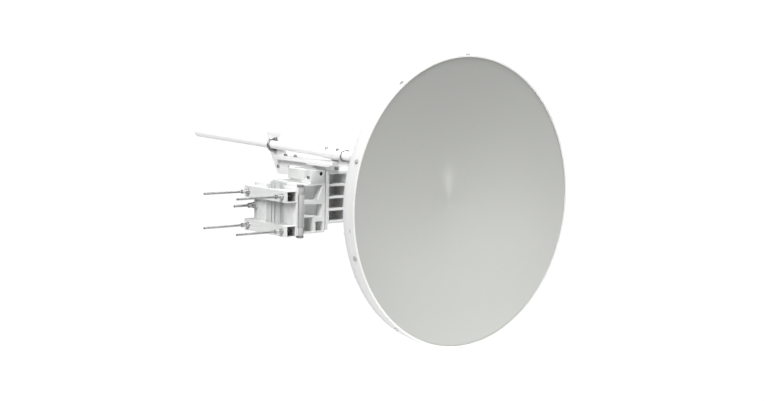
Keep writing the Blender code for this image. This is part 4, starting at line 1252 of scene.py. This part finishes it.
@dataclass
class ArmAndFlange(Assembly):
    """The castings behind the dish that tilt with it, and the feed flange in the arm's round end."""

    body: Body = Body.ANTENNA
    arm_back: float = 0.540
    pockets: Box = ((-0.3737, 0.4515, -0.0985), (-0.1870, 0.5285, 0.0515))
    # Painted shade colour inside the arm's pockets.
    pocket_tone: Colour = (0.62, 0.62, 0.61)
    arm_bolt_radius: float = 0.110
    flange_bolt_radius: float = 0.072
    bore: float = 0.018
    neck: float = 0.045
    pilot: float = 0.0585
    flange_radius: float = 0.085
    front: float = 0.497
    step: float = 0.5053
    shoulder: float = 0.518
    back: float = 0.536
    edge: float = 0.0008

    def build(self) -> None:
        """Makes the arm's pieces."""
        self.softened("elevation_flange", CASTING, CAST_EDGE)
        # The arm's coat is painted darker inside its pockets, for the shade that falls there.
        coat = replace(CASTING, name="support_arm_coat", hollow=self.pocket_tone, hollows=(self.pockets,))
        self.softened("support_arm", coat, CAST_EDGE)
        self.make_flange()
        self.ring_of("arm_bolts", hex_bolt(0.005, 0.0105), ZINC,
                     Circle(4, self.arm_bolt_radius, self.arm_back, 45.0, 0.0))
        self.ring_of("flange_bolts", hex_bolt(0.003, 0.006), ZINC,
                     Circle(8, self.flange_bolt_radius, self.shoulder, 22.5, 0.0))

    def make_flange(self) -> None:
        """The feed flange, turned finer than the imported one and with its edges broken."""
        bore, neck, pilot, disc, edge = self.bore, self.neck, self.pilot, self.flange_radius, self.edge
        profile = [(bore, self.front), (pilot - edge, self.front), (pilot, self.front + edge),
                   (pilot, self.step), (disc, self.step), (disc, self.shoulder - edge),
                   (disc - edge, self.shoulder), (neck, self.shoulder), (neck, self.back - edge),
                   (neck - edge, self.back), (bore + edge, self.back), (bore, self.back - edge)]
        self.piece("feed_flange_fine", [lathe(profile, FLANGE_STEPS)], SPUN, "feed_flange")


@dataclass(frozen=True)
class JointBolt:
    """A hexagon bolt along X, with a washer and a nut on its far side.

    The last five are shares of its radius: the corners and heights of the head and the nut, the
    washer's radius and the length of the threaded tail.
    """

    radius: float
    pitch: float
    head_face: float = -0.4073
    washer_face: float = -0.3777
    washer_thickness: float = 0.003
    corner: float = 1.85
    head: float = 1.3
    nut: float = 1.7
    washer: float = 2.1
    tail: float = 2.6

    def shapes(self, shop: Workshop, across: float, level: float, turn: float) -> list[Placed]:
        """The bolt's shapes with their places.

        Args:
            shop: The workshop.
            across: Its place along Y.
            level: Its place along Z.
            turn: How far its head is turned, in degrees.

        Returns:
            The shapes.
        """
        radius, face, thick = self.radius, self.washer_face, self.washer_thickness
        flats, head = flats_of(self.corner * radius), self.head * radius
        length = face - self.head_face + head
        shank = turned([(0.0, 0.0), (radius, 0.0), (radius, length), (0.0, length)], 32, False)
        row = [(hexagon(flats, head), self.head_face - head, turn),
               (shank, self.head_face - head * 0.5, 0.0),
               (washer(radius, self.washer * radius, thick), face, 0.0),
               (hexagon(flats, self.nut * radius, radius), face + thick, turn + 11.0),
               (shop.thread(radius, self.pitch, self.tail * radius), face, 0.0)]
        return [(shape, on_axis(RIGHT, (start, across, level), radians(spin))) for shape, start, spin in row]


@dataclass
class AzimuthMount(Assembly):
    """The bracket on the clamp's pivot, the block on top of it and the bolts of the elevation joint."""

    body: Body = Body.MOUNT
    elevation: Pair = (0.575, -0.010)
    lock_circle: float = 0.085
    sight_hole: Box = ((-0.4245, 0.4512, 0.0935), (-0.4075, 0.4805, 0.1105))
    block_bolt: Point = (-0.4535, 0.4765, 0.0801)
    pivot: JointBolt = JointBolt(0.010, 0.0025)
    lock: JointBolt = JointBolt(0.006, 0.00175)

    def build(self) -> None:
        """Makes the mount's pieces."""
        # Painted shade: darker inside the knuckle's box and near black inside the sight hole, where shade
        # falls.
        for node, shade_level, box in (("azimuth_bracket", 0.42, KNUCKLE), ("upper_bracket", 0.05, self.sight_hole)):
            coat = replace(CASTING, name=node + "_coat", hollow=grey(shade_level), hollows=(box,))
            self.softened(node, coat, CAST_EDGE)
        self.set_out("bracket_bolt", hex_bolt(0.0075, 0.0135), [(self.block_bolt, UP, 10.0)])
        across, level = self.elevation
        rows = (("elevation_pivot_bolt", 0.0, self.pivot), ("lock_bolt_lower", -self.lock_circle, self.lock),
                ("lock_bolt_upper", self.lock_circle, self.lock))
        for index, (node, offset, bolt) in enumerate(rows):
            shapes = bolt.shapes(self.shop, across, level + offset, 20.0 * index)
            self.piece(node + "_set", shapes, ZINC, node)


@dataclass(frozen=True)
class NutStack:
    """Two washers, a nut, a spacer and a second nut on a rod along X, against a face that looks to -X.

    The last four are shares of the rod's radius: the radii of the washers and the spacer, the nuts'
    corners and their height.
    """

    bore: float
    spacer: float
    washers: Pair = (0.00165, 0.00135)
    clearance: float = 0.0001
    gap: float = 0.0003
    turn_between: float = 17.0
    washer_radii: Pair = (2.4, 1.85)
    spacer_radius: float = 1.5
    corner: float = 1.95
    nut: float = 2.0

    def shapes(self, face: float, across: float, level: float, turn: float) -> list[Placed]:
        """The stack's shapes with their places.

        Args:
            face: Where the stack starts, along X.
            across: Its place along Y.
            level: Its place along Z.
            turn: How far the nuts are turned, in degrees.

        Returns:
            The shapes.
        """
        hole, nut, flats = self.bore + self.clearance, self.nut * self.bore, flats_of(self.corner * self.bore)
        wide, narrow = (radius * self.bore for radius in self.washer_radii)
        first, second = self.washers
        steps = [(washer(hole, wide, first), first), (washer(hole, narrow, second), second),
                 (hexagon(flats, nut, hole), nut),
                 (washer(hole, self.spacer_radius * self.bore, self.spacer), self.spacer),
                 (hexagon(flats, nut, hole), nut)]
        placed = []
        start = face - self.gap
        for index, (shape, length) in enumerate(steps):
            spin = radians(turn + self.turn_between * index)
            placed.append((shape, on_axis(LEFT, (start, across, level), spin)))
            start -= length
        return placed


@dataclass
class PoleClamp(Assembly):
    """The clamp's castings, its threaded rods, the azimuth pivot bolt and the adjuster.

    A slot in the pole groove has an offset from the middle, a half width and a depth.
    """

    body: Body = Body.CLAMP
    pole_y: float = 0.600
    middle: float = -0.058
    clamp_x: Pair = (-0.545, -0.521)
    clamp_z: Pair = (-0.150, 0.050)
    clamp_edge: float = 0.0010
    jaw_face: float = -0.594
    pocket_x: Pair = (-0.5906, -0.5484)
    pocket_y: Pair = (0.0929, 0.1535)
    pocket_half: float = 0.0206
    # Painted shade colour inside the jaws' end pockets.
    pocket_tone: Colour = (0.45, 0.45, 0.44)
    spacing: Pair = (0.247, 0.143)
    rod_radius: float = 0.005
    rod_pitch: float = 0.0015
    rod_x: Pair = (-0.815, -0.525)
    rod_spacer: float = 0.012
    adjuster_place: Pair = (0.735, -0.048)
    adjuster_x: Pair = (-0.659, -0.420)
    adjuster_radius: float = 0.006
    adjuster_pitch: float = 0.00175
    adjuster_face: float = -0.557
    adjuster_spacer: float = 0.003
    lock_corner: float = 0.011
    lock_height: float = 0.0095
    lock_gap: float = 0.0003
    # Painted shade colour for the pole groove's slopes and floor.
    groove_tone: Colour = (0.57, 0.585, 0.58)
    groove_floor: Pair = (-0.527, 0.012)
    groove_mouth: float = 0.071
    slots: tuple[Point, ...] = ((0.0575, 0.0065, 0.0025), (0.038, 0.0028, 0.0045), (0.021, 0.0032, 0.0045))
    post: Pair = (-0.519, 0.455)
    post_radius: float = 0.008
    post_edge: float = 0.001
    post_nut: float = 0.010
    post_nut_radius: float = 0.0155
    post_washer: float = 0.0018
    gap: float = 0.0008

    def build(self) -> None:
        """Makes the clamp's pieces."""
        # The jaws' coat is painted darker inside their end pockets, for the shade that falls there.
        coat = replace(CASTING, name="jaw_coat", hollow=self.pocket_tone, hollows=self.jaw_pockets())
        for node in ("upper_jaw", "lower_jaw"):
            self.softened(node, coat, CAST_EDGE)
        # The clamp body gets painted shade: darker in the pole groove and inside the knuckle's box.
        rubbed = replace(CASTING, name="casting_with_painted_shade", rubbed=self.groove_tone, hollow=grey(0.42),
                         hollows=(KNUCKLE,))
        self.softened("clamp_body", rubbed, self.clamp_edge, self.groove_slots())
        self.make_rods()
        self.make_pivot()
        self.make_adjuster()

    def jaw_pockets(self) -> tuple[Box, ...]:
        """The boxes round the open pockets in the four ends of the jaws, which get painted shade.

        Returns:
            The low and high corners of each.
        """
        (left, right), half = self.pocket_x, self.pocket_half
        boxes = []
        for level in (self.middle + up * self.spacing[1] / 2.0 for up in (-1.0, 1.0)):
            for back in (-1.0, 1.0):
                low, high = sorted(self.pole_y + back * reach for reach in self.pocket_y)
                boxes.append(((left, low, level - half), (right, high, level + half)))
        return tuple(boxes)

    def groove_slots(self) -> tuple[Shape, ...]:
        """The upright slots in the pole groove, which give the pole its grip.

        Returns:
            The shapes that cut them.
        """
        floor, half_floor = self.groove_floor
        lean = (floor - self.clamp_x[0]) / (self.groove_mouth - half_floor)
        low, high = self.clamp_z
        made = []
        for side in (-1.0, 1.0):
            for offset, half, depth in self.slots:
                surface = floor - lean * (offset - half_floor)
                middle = self.pole_y + side * offset
                made.append(block((surface - 0.006, surface + depth), (middle - half, middle + half),
                                  (low - 0.01, high + 0.02)))
        return tuple(made)

    def make_rods(self) -> None:
        """The four threaded rods with their nuts."""
        stack = NutStack(self.rod_radius, self.rod_spacer)
        start, end = self.rod_x
        turn = 5.0
        for row, up in (("upper", 1), ("lower", -1)):
            for column, back in (("front", -1), ("rear", 1)):
                across = self.pole_y + back * self.spacing[0] / 2.0
                level = self.middle + up * self.spacing[1] / 2.0
                node = f"clamp_rod_{row}_{column}"
                rod = self.shop.thread(self.rod_radius, self.rod_pitch, end - start)
                self.piece(node + "_thread", [(rod, on_axis(RIGHT, (start, across, level)))], DARK_ZINC, node)
                turn += 23.0
                node = f"clamp_nut_{row}_{column}"
                self.piece(node + "_set", stack.shapes(self.jaw_face, across, level, turn), ZINC, node)

    def make_pivot(self) -> None:
        """The upright bolt that the bracket hangs on, with a washer and a nut at each end."""
        low, high = self.clamp_z
        start = low - 1.2 * self.post_nut
        radius, end, edge, thick = self.post_radius, high - start, self.post_edge, self.post_washer
        shank = turned([(0.0, 0.0), (radius - edge, 0.0), (radius, edge), (radius, end), (0.0, end)],
                       HARDWARE_STEPS, False)
        shapes = [(shank, on_axis(UP, (*self.post, start)))]
        for way, face, bore, spin in ((1.0, high + self.gap, 0.0, 0.35), (-1.0, low - self.gap, radius, 0.8)):
            nut = hexagon(flats_of(self.post_nut_radius), self.post_nut - thick, bore)
            shapes += [(washer(radius, self.post_nut_radius, thick), on_axis(way * UP, (*self.post, face))),
                       (nut, on_axis(way * UP, (*self.post, face + way * thick), spin))]
        self.piece("azimuth_pivot_bolt_set", shapes, DULL_ZINC, "azimuth_pivot_bolt")

    def make_adjuster(self) -> None:
        """The rod that turns the bracket, with its nuts."""
        start, end = self.adjuster_x
        place, radius = self.adjuster_place, self.adjuster_radius
        rod = self.shop.thread(radius, self.adjuster_pitch, end - start)
        self.piece("azimuth_adjuster_thread", [(rod, on_axis(RIGHT, (start, *place)))], ZINC,
                   "azimuth_adjuster_rod")
        nuts = NutStack(radius, self.adjuster_spacer).shapes(self.adjuster_face, *place, 12.0)
        self.piece("azimuth_adjuster_nut_set", nuts, ZINC, "azimuth_adjuster_nut")
        lock = hexagon(flats_of(self.lock_corner), self.lock_height, radius)
        seat = on_axis(RIGHT, (self.clamp_x[1] + self.lock_gap, *place), 0.2)
        self.piece("azimuth_adjuster_lock_nut_fine", [(lock, seat)], ZINC, "azimuth_adjuster_lock_nut")


@dataclass(frozen=True)
class UBolt:
    """A bar bent round the strut's tube. Its legs stand to both sides of the tube's middle line.

    The last five are shares of its radius: its thread's pitch, the thickness and radius of its
    washers, the corners and the height of its nuts with their washers.
    """

    node: str
    depth: float
    radius: float
    leg: float
    pitch: float = 0.3
    washer_thickness: float = 0.36
    washer: float = 2.1
    corner: float = 1.9
    nut: float = 2.0


@dataclass
class Strut(Assembly):
    """The steadying tube with its sleeve, caps, plates and U-bolts, and the outrigger that carries it."""

    body: Body = Body.ANTENNA
    x: float = -0.413
    datum: Pair = (0.465, 0.192)
    slope: float = 0.0333
    ends: Pair = (0.245, 1.425)
    radius: float = 0.0175
    wall: float = 0.003
    tube_edge: float = 0.0005
    sleeve_ends: Pair = (0.320, 0.440)
    sleeve_radius: float = 0.0213
    sleeve_edge: float = 0.001
    sleeve_screws: Pair = (0.407, 0.334)
    screw_angle: float = 115.0
    screw_sink: float = 0.0004
    bar_bolts: tuple[Point, ...] = ((-0.412, 0.712, 0.159), (-0.412, 0.640, 0.159))
    bar_turns: Pair = (5.0, 20.0)
    plate_bolt: Point = (-0.3912, 0.793, 0.108)
    plate_face: float = -0.3852
    bolt_start: float = 0.012
    bolt_tail: float = 0.020
    gap: float = 0.0003
    plates: tuple[tuple[str, float], ...] = (
        ("outrigger_foot", 0.0012), ("outrigger_deck", 0.0012), ("strut_outrigger", 0.0025),
        ("rear_strut_plate", 0.0010), ("front_strut_plate", 0.0010))
    saddle_edge: float = 0.0008
    u_bolts: tuple[UBolt, ...] = (UBolt("rear_u_bolt", 0.812, 0.005, 0.0272),
                                  UBolt("front_u_bolt", 0.300, 0.003, 0.0211))

    def build(self) -> None:
        """Makes the strut's pieces."""
        for plate, width in self.plates:
            self.softened(plate, COAT, width)
        self.softened("rear_strut_saddle", DARK_ZINC, self.saddle_edge)
        self.make_tube()
        self.make_bolts()
        for bolt in self.u_bolts:
            self.make_u_bolt(bolt)

    def point(self, depth: float) -> Vector:
        """A point on the strut's middle line."""
        return Vector((self.x, depth, self.datum[1] + self.slope * (depth - self.datum[0])))

    def along_strut(self, profile: Profile, start: float, closed: bool) -> list[Placed]:
        """A profile of (radius, length) turned about the strut's line, from a depth on."""
        direction = (self.point(1.0) - self.point(0.0)).normalized()
        return [(turned(profile, STRUT_STEPS, closed), on_axis(direction, self.point(start)))]

    def make_tube(self) -> None:
        """The tube, the sleeve round its front end and its caps."""
        radius, inner = self.radius, self.radius - self.wall
        for node, bore, outer, edge, (start, end) in (
                ("strut_tube", inner, radius, self.tube_edge, self.ends),
                ("strut_sleeve", radius + self.gap, self.sleeve_radius, self.sleeve_edge, self.sleeve_ends)):
            profile = pipe(bore, outer, (end - start) * hypot(1.0, self.slope), edge)
            self.piece(node + "_fine", self.along_strut(profile, start, True), COAT, node)
        plug = inner - self.gap
        cap = [(0.0, -0.0040), (radius - 0.0016, -0.0040), (radius - 0.0004, -0.0034), (radius, -0.0020),
               (radius, -self.gap), (plug, -self.gap), (plug, 0.0150), (0.0, 0.0150)]
        for row, end, side in (("front", self.ends[0], 1.0), ("rear", self.ends[1], -1.0)):
            shapes = self.along_strut([(reach, side * length) for reach, length in cap], end, False)
            self.piece(f"strut_cap_{row}_fine", shapes, CAP, f"strut_cap_{row}")

    def make_bolts(self) -> None:
        """The two screws in the sleeve, the two on the outrigger and the one in the rear plate."""
        angle = radians(self.screw_angle)
        away = Vector((cos(angle), 0.0, sin(angle)))
        lift = (self.sleeve_radius - self.screw_sink) * away
        self.set_out("sleeve_screws", hex_bolt(0.0038, 0.0062, 0.003),
                     [(self.point(depth) + lift, away, 15.0) for depth in self.sleeve_screws])
        self.set_out("outrigger_bolts", hex_bolt(0.0045, 0.0090, 0.003),
                     [(place, UP, turn) for place, turn in zip(self.bar_bolts, self.bar_turns)])
        self.set_out("plate_bolt", hex_bolt(0.0035, 0.0070), [(self.plate_bolt, LEFT, 0.0)])

    def make_u_bolt(self, bolt: UBolt) -> None:
        """A bent bar round the tube with threads, washers and nuts on its two legs.

        Args:
            bolt: The bolt.
        """
        bar, leg, depth, middle = bolt.radius, bolt.leg, bolt.depth, self.point(bolt.depth).z
        bend_x = self.x + leg - self.radius - bar - 2.0 * self.gap
        start, face = self.plate_face - self.bolt_start, self.plate_face + self.gap
        thin = bolt.washer_thickness * bar
        path = [Vector((start, depth, middle + leg))]
        path += [Vector((bend_x + leg * cos(angle), depth, middle + leg * sin(angle)))
                 for angle in map(radians, range(90, 271, 6))]
        path.append(Vector((start, depth, middle - leg)))
        shapes = [(swept(path, bar, 20), Matrix.Translation(DISH_CENTRE))]
        for side in (-1.0, 1.0):
            level = middle + side * leg
            tail = self.shop.thread(bar, bolt.pitch * bar, self.plate_face + self.bolt_tail - start)
            nut = hexagon(flats_of(bolt.corner * bar), bolt.nut * bar - self.gap - thin, bar)
            shapes += [(tail, on_axis(RIGHT, (start, depth, level))),
                       (washer(bar, bolt.washer * bar, thin), on_axis(RIGHT, (face, depth, level))),
                       (nut, on_axis(RIGHT, (face + thin, depth, level), 0.3 * side))]
        self.piece(bolt.node + "_set", shapes, DARK_ZINC, bolt.node)


def main() -> None:
    """Builds the looks in order."""
    logging.basicConfig(level=logging.INFO, format="%(message)s")
    for item in list(bpy.data.objects):
        bpy.data.objects.remove(item, do_unlink=True)
    shop = Workshop()
    Studio().build()
    shop.dress_nodes()
    for assembly in (Dish, ArmAndFlange, AzimuthMount, PoleClamp, Strut):
        assembly(shop).build()


if __name__ == "__main__":
    main()
